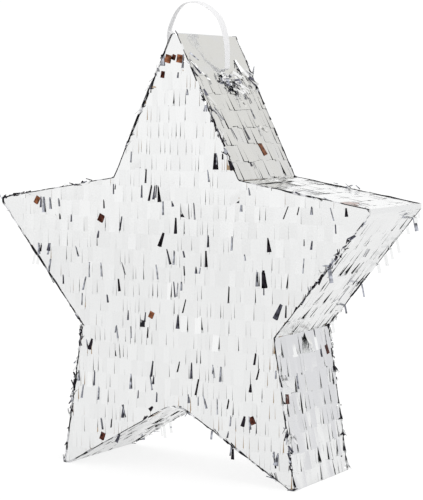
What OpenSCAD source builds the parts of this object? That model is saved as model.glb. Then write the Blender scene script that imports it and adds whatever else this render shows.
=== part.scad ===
// Star pinata: a hollow five-pointed star of taped card, covered all over in rows of
// foil fringe, with a plastic ribbon loop through the top arm and a card door in the
// back for filling it. Millimetres, +Z up, the front faces -Y. The origin is on the
// surface that the star stands on, under the middle of the star.

/* [Star] */
// Height of the covered star, without the hanging loop
star_h = 331; // [280:1:400]
// Width between the ends of the two side arms
star_w = 320; // [266:1:390]
// Depth between the front and back fringe
star_d = 88; // [70:1:120]
// Distance of each shoulder from the middle, where the top arm begins
shoulder_x = 54.7; // [44:0.1:66]
// Height of the shoulders
shoulder_z = 223.6; // [215:0.1:235]
// Height of the side arms' ends
arm_z = 203.8; // [195:0.1:212]
// Distance of the waist from the middle, between a side arm and a leg
waist_x = 84.5; // [70:0.1:92]
// Height of the waist
waist_z = 110.2; // [92:0.1:132]
// Distance of each foot from the middle
foot_x = 99.7; // [83:0.1:120]
// Height where the inner sides of the legs would meet
crotch_z = 55.6; // [46:0.1:68]
// Radius of the bend between the legs
crotch_r = 20; // [10:1:26]
// Width of the blunt fold at the end of each arm and foot
tip_flat = 4; // [3.6:0.1:6]

/* [Card] */
// Thickness of the card panels and walls
card_t = 2.5; // [1.5:0.1:3.2]
// Width of each leg of a gummed tape strip
tape_w = 12; // [6:0.5:16]
// Thickness of the gummed tape
tape_t = 0.2; // [0.1:0.05:0.3]

/* [Foil] */
// Depth of the foil covering over the card
foil_t = 1; // [0.8:0.1:1.4]
// Thickness of the foil folded over each blunt tip
wrap_t = 0.4; // [0.3:0.1:0.6]
// Height of one row of fringe on the front and back
row_h = 12; // [8:0.5:16]
// Length of one row of fringe along the side walls
side_row_l = 14; // [10:0.5:18]
// Length of the plain foil before the first row
header_l = 16; // [8:0.5:24]
// Gap between two rows
row_gap = 0.5; // [0.3:0.1:1]

/* [Filler door] */
// Width of the hole cut in the back panel
door_w = 70; // [50:1:90]
// Height of the hole
door_h = 60; // [40:1:74]
// Height of the door's hinge line above the surface
door_top_z = 180; // [160:1:196]
// Clearance round the door
door_gap = 0.5; // [0.3:0.1:1]
// Bare strip between the door's hinge line and the fringe on either side
hinge_bare = 4; // [3:0.5:6]

/* [Hanging loop] */
// Width of the plastic ribbon
ribbon_w = 7; // [5:0.5:9]
// Thickness of the ribbon
ribbon_t = 0.8; // [0.6:0.1:1]
// Depth of the ribbon's slots below the top of the star
loop_drop = 26; // [24:0.5:32]
// Distance of the loop behind the middle of the star
loop_y = 3; // [-6:0.5:8]
// Distance that the loop stands off the foil where it comes out
loop_stand = 2.2; // [2:0.1:3]
// Clearance between the loop and the ribbon in the slot
loop_gap = 0.3; // [0.2:0.1:0.5]
// Clearance at each edge of a ribbon slot
slot_gap = 0.4; // [0.2:0.1:1]
// Thickness of the card patch behind each slot
patch_t = 1.2; // [0.8:0.1:1.6]
// Width and height of the patch
patch_s = 24; // [18:1:28]
// Radius of the knot inside the star
knot_r = 3.6; // [3:0.1:4]
// Length of the knot
knot_l = 7; // [5:0.5:8]
// Length of the ribbon ends below the knot
knot_end_l = 14; // [8:1:20]

/* [Hidden] */

half_w = star_w / 2;
half_d = star_d / 2;
half_flat = tip_flat / 2;
card_y = half_d - foil_t;            // outer face of the back panel
skin = tape_t + 0.05;                // fringe starts this far off the card, clear of the tape
inner_t = foil_t + card_t;           // from the covered outline to the inside of a wall
bend_steps = 12;
reach = 20;                          // how far a cutting shape runs past what it cuts

card_colour = [0.72, 0.6, 0.45];
tape_colour = [0.8, 0.7, 0.55];
foil_colour = [0.85, 0.86, 0.88];
ribbon_colour = [0.96, 0.96, 0.97];

// The outline's straight edges, [x, z] ends, clockwise from the top as seen from the front.
right_edges = [
    [[half_flat, star_h], [shoulder_x, shoulder_z]],
    [[shoulder_x, shoulder_z], [half_w, arm_z + half_flat]],
    [[half_w, arm_z - half_flat], [waist_x, waist_z]],
    [[waist_x, waist_z], [foot_x + half_flat, 0]],
    [[foot_x - half_flat, 0], [0, crotch_z]]
];
left_edges = [for (i = [4:-1:0]) [flip(right_edges[i][1]), flip(right_edges[i][0])]];
edges = concat(right_edges, left_edges);

function flip(p) = [-p[0], p[1]];
function along(e) = (e[1] - e[0]) / norm(e[1] - e[0]);
function inward(e) = [along(e)[1], -along(e)[0]];
function inset(e, t) = [e[0] + inward(e) * t, e[1] + inward(e) * t];
function cross2(a, b) = a[0] * b[1] - a[1] * b[0];

// Where the lines through two edges meet
function meet(e, f) = e[0] + along(e) * (cross2(f[0] - e[0], along(f)) / cross2(along(e), along(f)));

// The outline's corner at the start of edge i, moved in by t
function corner(i, t) = meet(inset(edges[(i + 9) % 10], t), inset(edges[i % 10], t));

// The round bend between the legs: its centre, and its points when moved in by t
bend_half = atan((foot_x - half_flat) / crotch_z);
bend_centre = [0, crotch_z - crotch_r / sin(bend_half)];
bend_turn = 90 - bend_half;
function bend_point(a, t) = bend_centre + (crotch_r + t) * [sin(a), cos(a)];
function bend(t) = [for (k = [0:bend_steps]) bend_point(bend_turn * (1 - 2 * k / bend_steps), t)];

// The whole outline moved in by t, before its tips are cut blunt
function outline(t) = concat([for (i = [0:4]) corner(i, t)], bend(t), [for (i = [6:9]) corner(i, t)]);

// Where edge i starts and ends when it is moved in by t
function edge_start(i, t) = i == 5 ? bend_point(-bend_turn, t) : corner(i, t);
function edge_end(i, t) = i == 4 ? bend_point(bend_turn, t) : corner(i + 1, t);

// The rectangle that cuts the tips blunt, t inside the covered star
module blunt(t) {
    translate([t - half_w, t]) square([star_w - 2 * t, star_h - 2 * t]);
}

module star(t, tip_t) {
    intersection() {
        polygon(outline(t));
        blunt(tip_t);
    }
}

// A flat strip along edge i, between the depths t0 and t1
module edge_strip(i, t0, t1, tip_t) {
    intersection() {
        polygon([edge_start(i, t0), edge_end(i, t0), edge_end(i, t1), edge_start(i, t1)]);
        blunt(tip_t);
    }
}

// Stands a drawing of [x, z] up, from the depth y0 back to y1
module upright(y0, y1) {
    translate([0, y1, 0]) rotate([90, 0, 0]) linear_extrude(y1 - y0) children();
}

// ---- card ----

module front_panel() {
    color(card_colour) upright(-card_y, card_t - card_y) star(foil_t, wrap_t);
}

module door_opening(margin) {
    translate([-door_w / 2 - margin, door_top_z - door_h - margin])
        square([door_w + 2 * margin, door_h + 2 * margin]);
}

module back_panel() {
    color(card_colour) upright(card_y - card_t, card_y) difference() {
        star(foil_t, wrap_t);
        door_opening(0);
    }
}

module wall(i) {
    color(card_colour) upright(card_t - card_y, card_y - card_t) edge_strip(i, foil_t, inner_t, wrap_t);
}

module top_wall(i) {
    difference() {
        wall(i);
        ribbon_slot();
    }
}

module crotch_wall() {
    color(card_colour) upright(card_t - card_y, card_y - card_t)
        polygon(concat(bend(foil_t), reverse(bend(inner_t))));
}

function reverse(list) = [for (k = [len(list) - 1:-1:0]) list[k]];

// ---- tape ----

// Tape folded over a panel's edge: one leg on the panel, the other on the walls
module seam_tape(side) {
    color(tape_colour) scale([1, side, 1]) {
        upright(card_y, card_y + tape_t) difference() {
            star(foil_t - tape_t, wrap_t);
            star(foil_t + tape_w, wrap_t);
        }
        upright(card_y - tape_w, card_y) difference() {
            star(foil_t - tape_t, wrap_t);
            star(foil_t, wrap_t);
        }
    }
}

// Tape over an inside corner of two walls, which starts edge i
module corner_tape(i) {
    color(tape_colour) upright(card_t - card_y, card_y - card_t) intersection() {
        difference() {
            polygon(outline(inner_t));
            polygon(outline(inner_t + tape_t));
        }
        translate(corner(i, inner_t)) circle(r = tape_w, $fn = 12);
    }
}

// ---- filler door ----

module filler_door() {
    color(card_colour) upright(card_y - card_t, card_y) door_opening(-door_gap);
}

module door_hinge_tape() {
    color(tape_colour) upright(card_y, card_y + tape_t)
        translate([-door_w / 2, door_top_z]) square([door_w, tape_w]);
}

module door_hinge_leaf() {
    leaf_gap = 3 * tape_t;
    color(tape_colour) upright(card_y, card_y + tape_t)
        translate([door_gap - door_w / 2, door_top_z - tape_w])
            square([door_w - 2 * door_gap, tape_w - leaf_gap]);
}

// ---- fringe ----

row_count = ceil((star_h - header_l) / row_h);
function row_top(k) = k < 0 ? star_h : star_h - header_l - k * row_h;
function row_middle(k) = (row_top(k) + row_top(k + 1)) / 2;

// Rows -1 (the plain header) to the last, cut to the star where their middles are between two heights
module face_rows(low, high) {
    for (k = [-1:row_count - 1])
        if (row_middle(k) > low && row_middle(k) <= high)
            intersection() {
                star(0, wrap_t);
                translate([-half_w, row_top(k + 1) + row_gap])
                    square([star_w, row_top(k) - row_top(k + 1) - row_gap]);
            }
}

// The side of the star that one leg is on: 1 is right, -1 is left, 0 is both
module leg_side(side) {
    if (side == 0) children();
    if (side != 0) intersection() {
        children();
        translate([side > 0 ? row_gap : -half_w, 0]) square([half_w - row_gap, star_h]);
    }
}

chest_z = (arm_z + waist_z) / 2;
bend_top_z = bend_centre[1] + crotch_r;
BAND_LOW = [shoulder_z, chest_z, waist_z, bend_top_z, 0, 0];
BAND_HIGH = [star_h, shoulder_z, chest_z, waist_z, bend_top_z, bend_top_z];
BAND_SIDE = [0, 0, 0, 0, 1, -1];

module front_fringe(band) {
    color(foil_colour) upright(-half_d, -card_y - skin)
        leg_side(BAND_SIDE[band]) face_rows(BAND_LOW[band], BAND_HIGH[band]);
}

module back_fringe(band) {
    color(foil_colour) upright(card_y + skin, half_d) difference() {
        leg_side(BAND_SIDE[band]) face_rows(BAND_LOW[band], BAND_HIGH[band]);
        door_opening(hinge_bare);
    }
}

module door_fringe() {
    color(foil_colour) upright(card_y + skin, half_d) intersection() {
        face_rows(0, star_h);
        translate([2 * door_gap - door_w / 2, door_top_z - door_h + 2 * door_gap])
            square([door_w - 4 * door_gap, door_h - hinge_bare - 2 * door_gap]);
    }
}

// Rows along a side wall: the plain header is at the start of a falling edge's upper end
module side_rows(i) {
    e = edges[i];
    falling = e[1][1] < e[0][1];
    high_end = falling ? e[0] : e[1];
    down = falling ? along(e) : -along(e);
    turn = atan2(down[1], down[0]);
    count = ceil((norm(e[1] - e[0]) + reach - header_l) / side_row_l);
    color(foil_colour) upright(-card_y, card_y) for (k = [-1:count - 1]) {
        start = k < 0 ? -reach : header_l + k * side_row_l;
        end = header_l + (k + 1) * side_row_l;
        intersection() {
            edge_strip(i, 0, foil_t - skin, wrap_t);
            translate(high_end) rotate(turn) translate([start, -reach])
                square([end - start - row_gap, 2 * reach]);
        }
    }
}

module top_fringe(i) {
    difference() {
        side_rows(i);
        ribbon_slot();
    }
}

module crotch_fringe() {
    color(foil_colour) upright(-card_y, card_y)
        polygon(concat(bend(0), reverse(bend(foil_t - skin))));
}

// ---- foil folded over the blunt tips ----

module wrap(x, z, wide, high) {
    color(foil_colour) upright(-half_d, half_d) translate([x - wide / 2, z - high / 2]) square([wide, high]);
}

module top_wrap() { wrap(0, star_h - wrap_t / 2, tip_flat, wrap_t); }
module arm_wrap(side) { wrap(side * (half_w - wrap_t / 2), arm_z, wrap_t, tip_flat); }
module foot_wrap(side) { wrap(side * foot_x, wrap_t / 2, tip_flat, wrap_t); }

// ---- hanging loop ----

loop_z = star_h - loop_drop;
foil_x = half_flat + loop_drop * (shoulder_x - half_flat) / (star_h - shoulder_z);
exit_x = foil_x + loop_stand;

// The loop's route, [x, height above the slots], from the right slot over the top to the left one
ROUTE = [
    [17, 0], [17.5, 0.2], [18, 1], [18, 2], [18, 4], [18, 8], [18, 14], [17, 22], [15, 30], [12, 37],
    [7, 43], [0, 48], [-6, 50.5], [-12, 51.5], [-17, 51], [-22, 49], [-27, 44], [-31, 37], [-33.5, 30],
    [-34, 23], [-32.5, 16], [-29, 10], [-25, 5], [-22, 2.5], [-19, 1], [-18, 0.5], [-17, 0]
];
route_steps = 3;
route_last = len(ROUTE) - 1;
spread = exit_x / ROUTE[0][0];
function route_at(k) = [ROUTE[k][0] * spread, ROUTE[k][1] + loop_z];
function route_safe(k) = route_at(min(max(k, 0), route_last));

// A smooth curve through four points, at u from the second to the third
function smooth(a, b, c, d, u) =
    0.5 * (2 * b + (c - a) * u + (2 * a - 5 * b + 4 * c - d) * u * u + (3 * b - a - 3 * c + d) * u * u * u);
centreline = concat(
    [for (k = [0:route_last - 1]) for (s = [0:route_steps - 1])
        smooth(route_safe(k - 1), route_safe(k), route_safe(k + 1), route_safe(k + 2), s / route_steps)],
    [route_at(route_last)]
);
line_last = len(centreline) - 1;
function line_dir(k) = along([centreline[max(k - 1, 0)], centreline[min(k + 1, line_last)]]);
function line_side(k, t) = centreline[k] + t * [-line_dir(k)[1], line_dir(k)[0]];

module hanging_loop() {
    half_t = ribbon_t / 2;
    one_side = [for (k = [0:line_last]) line_side(k, half_t)];
    other_side = [for (k = [line_last:-1:0]) line_side(k, -half_t)];
    color(ribbon_colour) upright(loop_y - ribbon_w / 2, loop_y + ribbon_w / 2)
        polygon(concat(one_side, other_side));
}

// The cut that lets the ribbon through both walls and their patches
module ribbon_slot() {
    translate([-half_w, loop_y - ribbon_w / 2 - slot_gap, loop_z - ribbon_t / 2])
        cube([star_w, ribbon_w + 2 * slot_gap, ribbon_t + slot_gap]);
}

module slot_patch(i) {
    difference() {
        color(card_colour) upright(loop_y - patch_s / 2, loop_y + patch_s / 2) intersection() {
            edge_strip(i, inner_t, inner_t + patch_t, wrap_t);
            translate([-half_w, loop_z - patch_s / 2]) square([star_w, patch_s]);
        }
        ribbon_slot();
    }
}

module loop_tail(side) {
    tail_l = exit_x - loop_gap - knot_l / 2;
    color(ribbon_colour) scale([side, 1, 1])
        translate([knot_l / 2, loop_y - ribbon_w / 2, loop_z - ribbon_t / 2])
            cube([tail_l, ribbon_w, ribbon_t]);
}

module loop_knot() {
    end_space = 1.2;
    color(ribbon_colour) {
        translate([-knot_l / 2, loop_y, loop_z]) rotate([0, 90, 0])
            cylinder(r = knot_r, h = knot_l, $fn = 48);
        for (side = [-1, 1])
            translate([side * end_space - ribbon_t / 2, loop_y - ribbon_w / 2, loop_z - knot_r - knot_end_l])
                cube([ribbon_t, ribbon_w, knot_r + knot_end_l]);
    }
}

// ---- the star ----

front_panel();
back_panel();
top_wall(0);  // top_wall_right
wall(1);  // shoulder_wall_right
wall(2);  // arm_wall_right
wall(3);  // leg_wall_outer_right
wall(4);  // leg_wall_inner_right
wall(5);  // leg_wall_inner_left
wall(6);  // leg_wall_outer_left
wall(7);  // arm_wall_left
wall(8);  // shoulder_wall_left
top_wall(9);  // top_wall_left
crotch_wall();
seam_tape(-1);  // front_seam_tape
seam_tape(1);  // back_seam_tape
corner_tape(1);  // shoulder_tape_right
corner_tape(3);  // waist_tape_right
corner_tape(7);  // waist_tape_left
corner_tape(9);  // shoulder_tape_left
filler_door();
door_hinge_tape();
door_hinge_leaf();
door_fringe();
slot_patch(0);  // slot_patch_right
slot_patch(9);  // slot_patch_left
hanging_loop();
loop_tail(1);  // loop_tail_right
loop_tail(-1);  // loop_tail_left
loop_knot();
top_wrap();
arm_wrap(1);  // arm_wrap_right
arm_wrap(-1);  // arm_wrap_left
foot_wrap(1);  // foot_wrap_right
foot_wrap(-1);  // foot_wrap_left
top_fringe(0);  // top_fringe_right
side_rows(1);  // shoulder_fringe_right
side_rows(2);  // arm_fringe_right
side_rows(3);  // leg_fringe_outer_right
side_rows(4);  // leg_fringe_inner_right
side_rows(5);  // leg_fringe_inner_left
side_rows(6);  // leg_fringe_outer_left
side_rows(7);  // arm_fringe_left
side_rows(8);  // shoulder_fringe_left
top_fringe(9);  // top_fringe_left
crotch_fringe();
front_fringe(0);  // front_fringe_top
front_fringe(1);  // front_fringe_shoulders
front_fringe(2);  // front_fringe_chest
front_fringe(3);  // front_fringe_waist
front_fringe(4);  // front_fringe_leg_right
front_fringe(5);  // front_fringe_leg_left
back_fringe(0);  // back_fringe_top
back_fringe(1);  // back_fringe_shoulders
back_fringe(2);  // back_fringe_chest
back_fringe(3);  // back_fringe_waist
back_fringe(4);  // back_fringe_leg_right
back_fringe(5);  // back_fringe_leg_left
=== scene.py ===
"""Foil star pinata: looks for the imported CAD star. Lengths inside the functions are in
millimetres unless a name or comment says metres, and every mesh is written in metres."""
import math

import bpy
import numpy as np
from bpy.props import FloatProperty, FloatVectorProperty, IntProperty, PointerProperty
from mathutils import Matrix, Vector


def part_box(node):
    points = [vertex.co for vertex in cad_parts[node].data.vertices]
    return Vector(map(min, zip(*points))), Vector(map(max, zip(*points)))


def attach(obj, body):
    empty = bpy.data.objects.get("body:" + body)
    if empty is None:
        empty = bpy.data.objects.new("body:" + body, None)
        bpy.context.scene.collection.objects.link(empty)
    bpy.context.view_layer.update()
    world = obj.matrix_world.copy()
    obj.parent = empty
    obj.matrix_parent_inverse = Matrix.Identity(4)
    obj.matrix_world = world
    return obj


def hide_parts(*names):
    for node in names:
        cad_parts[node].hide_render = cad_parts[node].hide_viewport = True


bl_info = {
    "name": "Foil Star Pinata",
    "version": (1, 0, 0),
    "blender": (4, 5, 0),
    "location": "3D View > Sidebar > Pinata",
    "description": "Foil fringe, ribbon loop, card and stage for a star pinata",
    "category": "Add Mesh",
}

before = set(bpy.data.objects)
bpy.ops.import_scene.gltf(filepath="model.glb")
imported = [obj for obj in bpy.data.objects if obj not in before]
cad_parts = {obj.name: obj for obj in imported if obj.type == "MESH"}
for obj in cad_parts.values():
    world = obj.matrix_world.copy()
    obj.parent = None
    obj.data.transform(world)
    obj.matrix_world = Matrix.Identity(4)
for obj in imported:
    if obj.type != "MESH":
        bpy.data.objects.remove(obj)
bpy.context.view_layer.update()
MM = 0.001


# ---------------------------------------------------------------- the star's outline

def low(node, axis):
    """A CAD node's lowest place along an axis (0 x, 1 y, 2 z)."""
    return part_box(node)[0][axis] / MM


def high(node, axis):
    """A CAD node's highest place along an axis (0 x, 1 y, 2 z)."""
    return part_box(node)[1][axis] / MM


SHEET = high("front_fringe_top", 1) - low("front_fringe_top", 1)     # depth of the CAD foil
STAR_H = high("top_wrap", 2)
HALF_D = high("top_wrap", 1)
HALF_FLAT = high("top_wrap", 0)
HALF_W = high("arm_wrap_right", 0)
ARM_Z = (low("arm_wrap_right", 2) + high("arm_wrap_right", 2)) / 2
FOOT_X = (low("foot_wrap_right", 0) + high("foot_wrap_right", 0)) / 2
SHOULDER_X = high("top_fringe_right", 0)
SHOULDER_Z = high("shoulder_fringe_right", 2)
WAIST_X = low("leg_fringe_outer_right", 0) + SHEET
WAIST_Z = low("arm_fringe_right", 2)
CROTCH_TOP = high("crotch_fringe", 2) - SHEET
CARD_Y = high("back_panel", 1)
LOOP_Y = (low("hanging_loop", 1) + high("hanging_loop", 1)) / 2
LOOP_Z = (low("loop_tail_right", 2) + high("loop_tail_right", 2)) / 2
LOOP_GAP = 0.3
EXIT_X = high("loop_tail_right", 0) + LOOP_GAP
DOOR_TOP = low("door_hinge_tape", 2)
DOOR_LOW = low("door_fringe", 2)
DOOR_X = high("door_fringe", 0)
DOOR_GAP = 0.5
HINGE_BARE = DOOR_TOP - high("door_fringe", 2)

FOOT_IN = FOOT_X - HALF_FLAT
FOOT_OUT = FOOT_X + HALF_FLAT
BEND_X = high("crotch_fringe", 0) - SHEET / 2                          # where the bend meets the legs


def bend_circle():
    """Centre height and radius of the round bend between the legs, through its top and its
    end on the straight line from the foot: r = (dx^2 + dz^2) / (2 dz)."""
    slope = (low("crotch_fringe", 2) + SHEET / 2) / (FOOT_IN - BEND_X)
    end_z = slope * (FOOT_IN - BEND_X)
    drop = CROTCH_TOP - end_z
    radius = (BEND_X ** 2 + drop ** 2) / (2 * drop)
    return CROTCH_TOP - radius, radius, slope


BEND_MID, BEND_R, LEG_SLOPE = bend_circle()


def line(x, ax, az, bx, bz):
    """Height at x of the straight line through (ax, az) and (bx, bz)."""
    return az + (x - ax) * (bz - az) / (bx - ax)


def top_of_star(x):
    """Height of the outline over the arms: the top arm's side, then the shoulder's line."""
    x = np.abs(x)
    arm = line(x, HALF_FLAT, STAR_H, SHOULDER_X, SHOULDER_Z)
    side = line(x, SHOULDER_X, SHOULDER_Z, HALF_W, ARM_Z + HALF_FLAT)
    return np.where(x < HALF_FLAT, STAR_H, np.where(x < SHOULDER_X, arm, side))


def foot_of_arms(x):
    """Height of the side arms' undersides, and far below inside the waist."""
    x = np.abs(x)
    under = line(x, HALF_W, ARM_Z - HALF_FLAT, WAIST_X, WAIST_Z)
    return np.where(x < WAIST_X, -STAR_H, under)


def top_of_legs(x):
    """Height of the legs' outer sides, and far above inside the waist."""
    x = np.abs(x)
    side = line(x, WAIST_X, WAIST_Z, FOOT_OUT, 0)
    return np.where(x < WAIST_X, 2 * STAR_H, side)


def foot_of_legs(x):
    """Height of the legs' inner sides: a round bend in the middle, then straight to the feet."""
    x = np.abs(x)
    bend = BEND_MID + np.sqrt(np.maximum(BEND_R ** 2 - x ** 2, 0))
    leg = LEG_SLOPE * (FOOT_IN - x)
    return np.maximum(np.where(x < BEND_X, bend, leg), 0)


def outline_corners():
    """The outline's [x, z] corners, clockwise from the top as seen from the front."""
    turn = math.asin(BEND_X / BEND_R)
    bend = [(BEND_R * math.sin(a), BEND_MID + BEND_R * math.cos(a)) for a in np.linspace(turn, -turn, 13)]
    right = [(HALF_FLAT, STAR_H), (SHOULDER_X, SHOULDER_Z), (HALF_W, ARM_Z + HALF_FLAT),
             (HALF_W, ARM_Z - HALF_FLAT), (WAIST_X, WAIST_Z), (FOOT_OUT, 0), (FOOT_IN, 0)]
    left = [(-x, z) for x, z in reversed(right)]
    return np.array(right + bend + left)


# ---------------------------------------------------------------- settings

class PinataSizes(bpy.types.PropertyGroup):
    """Sizes and colours of the foil, the ribbon and the stage."""
    tab_w: FloatProperty(name="Front tab width", description="Width of a tab on the front and back",
                         default=5.0 * MM, unit="LENGTH")
    side_tab_w: FloatProperty(name="Side tab width", description="Width of a tab on the side walls",
                              default=6.0 * MM, unit="LENGTH")
    row_h: FloatProperty(name="Front row", description="Height of a row of fringe on the front and back",
                         default=12.0 * MM, unit="LENGTH")
    side_row: FloatProperty(name="Side row", description="Length of a row of fringe on the side walls",
                            default=14.0 * MM, unit="LENGTH")
    header: FloatProperty(name="Plain header", description="Uncut foil before the first row",
                          default=16.0 * MM, unit="LENGTH")
    plain_tip: FloatProperty(name="Plain side tip", description="Uncut foil at the end of each side arm",
                             default=20.0 * MM, unit="LENGTH")
    foil_t: FloatProperty(name="Foil thickness", description="Thickness of one tab", default=0.05 * MM,
                          unit="LENGTH")
    ribbon_w: FloatProperty(name="Ribbon width", description="Width of the hanging loop", default=7.0 * MM,
                            unit="LENGTH")
    ribbon_t: FloatProperty(name="Ribbon thickness", description="Thickness of the hanging loop",
                            default=0.7 * MM, unit="LENGTH")
    seed: IntProperty(name="Seed", description="Changes how the tabs lie", default=11, min=0)
    foil: FloatVectorProperty(name="Foil", description="Silver foil colour", subtype="COLOR", size=3,
                              default=(0.882, 0.887, 0.887), min=0.0, max=1.0)
    ribbon: FloatVectorProperty(name="Ribbon", description="Plastic ribbon colour", subtype="COLOR", size=3,
                                default=(0.8, 0.8, 0.81), min=0.0, max=1.0)
    card: FloatVectorProperty(name="Card", description="Kraft card colour", subtype="COLOR", size=3,
                              default=(0.42, 0.28, 0.16), min=0.0, max=1.0)
    tape: FloatVectorProperty(name="Tape", description="Gummed tape colour", subtype="COLOR", size=3,
                              default=(0.52, 0.36, 0.21), min=0.0, max=1.0)
    floor: FloatVectorProperty(name="Floor", description="Floor colour", subtype="COLOR", size=3,
                               default=(0.3, 0.3, 0.3), min=0.0, max=1.0)


def sizes():
    """The settings of this scene."""
    return bpy.context.scene.pinata


# ---------------------------------------------------------------- shader helpers

def add(tree, kind, **values):
    """A node of this kind: numbers and colours go on its sockets, sockets are linked to them,
    and everything else is a property."""
    made = tree.nodes.new(kind)
    for name, value in values.items():
        key = int(name[1:]) if name[0] == "_" and name[1:].isdigit() else name.replace("_", " ")
        if isinstance(key, int) or key in made.inputs:
            if isinstance(value, bpy.types.NodeSocket):
                tree.links.new(value, made.inputs[key])
            else:
                made.inputs[key].default_value = value
        else:
            setattr(made, name, value)
    return made


def group(name, ins, outs):
    """A shader node group with these named sockets, and its input and output nodes."""
    tree = bpy.data.node_groups.new(name, "ShaderNodeTree")
    for label, kind, value in ins:
        socket = tree.interface.new_socket(label, in_out="INPUT", socket_type=kind)
        if value is not None:
            socket.default_value = value
    for label, kind in outs:
        tree.interface.new_socket(label, in_out="OUTPUT", socket_type=kind)
    return tree, tree.nodes.new("NodeGroupInput"), tree.nodes.new("NodeGroupOutput")


def place(tree, name, **values):
    """Places a node group in a tree, with its own values."""
    made = tree.nodes.new("ShaderNodeGroup")
    made.node_tree = bpy.data.node_groups[name]
    for key, value in values.items():
        socket = made.inputs[key.replace("_", " ")]
        if isinstance(value, bpy.types.NodeSocket):
            tree.links.new(value, socket)
        else:
            socket.default_value = value
    return made


def make_crinkle_group():
    """Crinkle: broad soft waves plus sharp small creases, as a height."""
    tree, into, out = group("foil_crinkle", [
        ("Vector", "NodeSocketVector", None), ("Wave Scale", "NodeSocketFloat", 90.0),
        ("Crease Scale", "NodeSocketFloat", 420.0), ("Crease Amount", "NodeSocketFloat", 0.35),
    ], [("Height", "NodeSocketFloat"), ("Mask", "NodeSocketFloat")])
    wave = add(tree, "ShaderNodeTexNoise", Vector=into.outputs["Vector"], Scale=into.outputs["Wave Scale"],
               Detail=2.0, Roughness=0.45)
    crease = add(tree, "ShaderNodeTexVoronoi", feature="DISTANCE_TO_EDGE", Vector=into.outputs["Vector"],
                 Scale=into.outputs["Crease Scale"])
    sharp = add(tree, "ShaderNodeMapRange", Value=crease.outputs["Distance"])
    sharp.inputs["From Max"].default_value = 0.25
    scaled = add(tree, "ShaderNodeMath", operation="MULTIPLY", _0=sharp.outputs["Result"],
                 _1=into.outputs["Crease Amount"])
    total = add(tree, "ShaderNodeMath", operation="ADD", _0=wave.outputs["Fac"], _1=scaled.outputs["Value"])
    tree.links.new(total.outputs["Value"], out.inputs["Height"])
    tree.links.new(sharp.outputs["Result"], out.inputs["Mask"])


def make_paper_group():
    """Paper fibre: fine streaks along one axis over a soft mottling, as a mask and a height."""
    tree, into, out = group("paper_fibre", [
        ("Vector", "NodeSocketVector", None), ("Stretch", "NodeSocketVector", (1.0, 0.12, 1.0)),
        ("Fibre Scale", "NodeSocketFloat", 1600.0), ("Mottle Scale", "NodeSocketFloat", 60.0),
    ], [("Mask", "NodeSocketFloat"), ("Height", "NodeSocketFloat")])
    pulled = add(tree, "ShaderNodeVectorMath", operation="MULTIPLY", _0=into.outputs["Vector"],
                 _1=into.outputs["Stretch"])
    fibre = add(tree, "ShaderNodeTexNoise", Vector=pulled.outputs["Vector"],
                Scale=into.outputs["Fibre Scale"], Detail=3.0)
    mottle = add(tree, "ShaderNodeTexNoise", Vector=into.outputs["Vector"],
                 Scale=into.outputs["Mottle Scale"], Detail=4.0)
    mask = add(tree, "ShaderNodeMath", operation="MULTIPLY", _0=fibre.outputs["Fac"],
               _1=mottle.outputs["Fac"])
    tree.links.new(mask.outputs["Value"], out.inputs["Mask"])
    tree.links.new(fibre.outputs["Fac"], out.inputs["Height"])


def make_tab_group():
    """Tab tone: each tab's own shade, and the painted reflection on its bent part. The "shade" attribute
    runs 0 to 1 from tab to tab; "bent" is 0 on flat foil and 0 to 1 by colour on bent foil, which picks a
    painted reflection of brown, black, slate or grey surroundings, or a near white painted highlight."""
    tree, into, out = group("tab_tone_and_painted_reflection", [
        ("Foil", "NodeSocketColor", (0.9, 0.9, 0.9, 1.0)), ("Spread", "NodeSocketFloat", 0.05),
    ], [("Color", "NodeSocketColor"), ("Bent", "NodeSocketFloat")])
    shade = add(tree, "ShaderNodeAttribute", attribute_name="shade")
    bent = add(tree, "ShaderNodeAttribute", attribute_name="bent")
    dim = add(tree, "ShaderNodeMath", operation="MULTIPLY_ADD", _0=shade.outputs["Fac"],
              _1=into.outputs["Spread"], _2=0.0)
    keep = add(tree, "ShaderNodeMath", operation="SUBTRACT", _0=1.0, _1=dim.outputs["Value"])
    grey = add(tree, "ShaderNodeVectorMath", operation="SCALE", _0=into.outputs["Foil"])
    tree.links.new(keep.outputs["Value"], grey.inputs["Scale"])
    # Painted reflections: brown, dark brown, near black, slate and grey stand for what a turned tab reflects,
    # and near white is a painted highlight
    ramp = tree.nodes.new("ShaderNodeValToRGB")
    ramp.color_ramp.interpolation = "CONSTANT"
    stops = [(0.0, (0.24, 0.09, 0.045)), (0.3, (0.1, 0.035, 0.025)), (0.5, (0.02, 0.017, 0.022)),
             (0.72, (0.09, 0.09, 0.115)), (0.88, (0.33, 0.34, 0.38)), (0.96, (0.97, 0.97, 0.97))]
    while len(ramp.color_ramp.elements) < len(stops):
        ramp.color_ramp.elements.new(0.5)
    for element, (where, colour) in zip(ramp.color_ramp.elements, stops):
        element.position = where
        element.color = (*colour, 1.0)
    tree.links.new(bent.outputs["Fac"], ramp.inputs["Fac"])
    # A noise breaks the painted reflections into patches
    coords = add(tree, "ShaderNodeTexCoord")
    mottle = add(tree, "ShaderNodeTexNoise", Vector=coords.outputs["Object"], Scale=330.0, Detail=1.0)
    swell = add(tree, "ShaderNodeMath", operation="MULTIPLY_ADD", _0=mottle.outputs["Fac"], _1=3.2, _2=-0.7)
    patchy = add(tree, "ShaderNodeVectorMath", operation="SCALE", _0=ramp.outputs["Color"])
    tree.links.new(swell.outputs["Value"], patchy.inputs["Scale"])
    is_bent = add(tree, "ShaderNodeMath", operation="GREATER_THAN", _0=bent.outputs["Fac"], _1=0.001)
    mixed = add(tree, "ShaderNodeMix", data_type="RGBA")
    tree.links.new(is_bent.outputs["Value"], mixed.inputs["Factor"])
    tree.links.new(grey.outputs["Vector"], mixed.inputs[6])
    tree.links.new(patchy.outputs["Vector"], mixed.inputs[7])
    mixed.clamp_result = True
    tree.links.new(mixed.outputs[2], out.inputs["Color"])
    tree.links.new(is_bent.outputs["Value"], out.inputs["Bent"])


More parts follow.
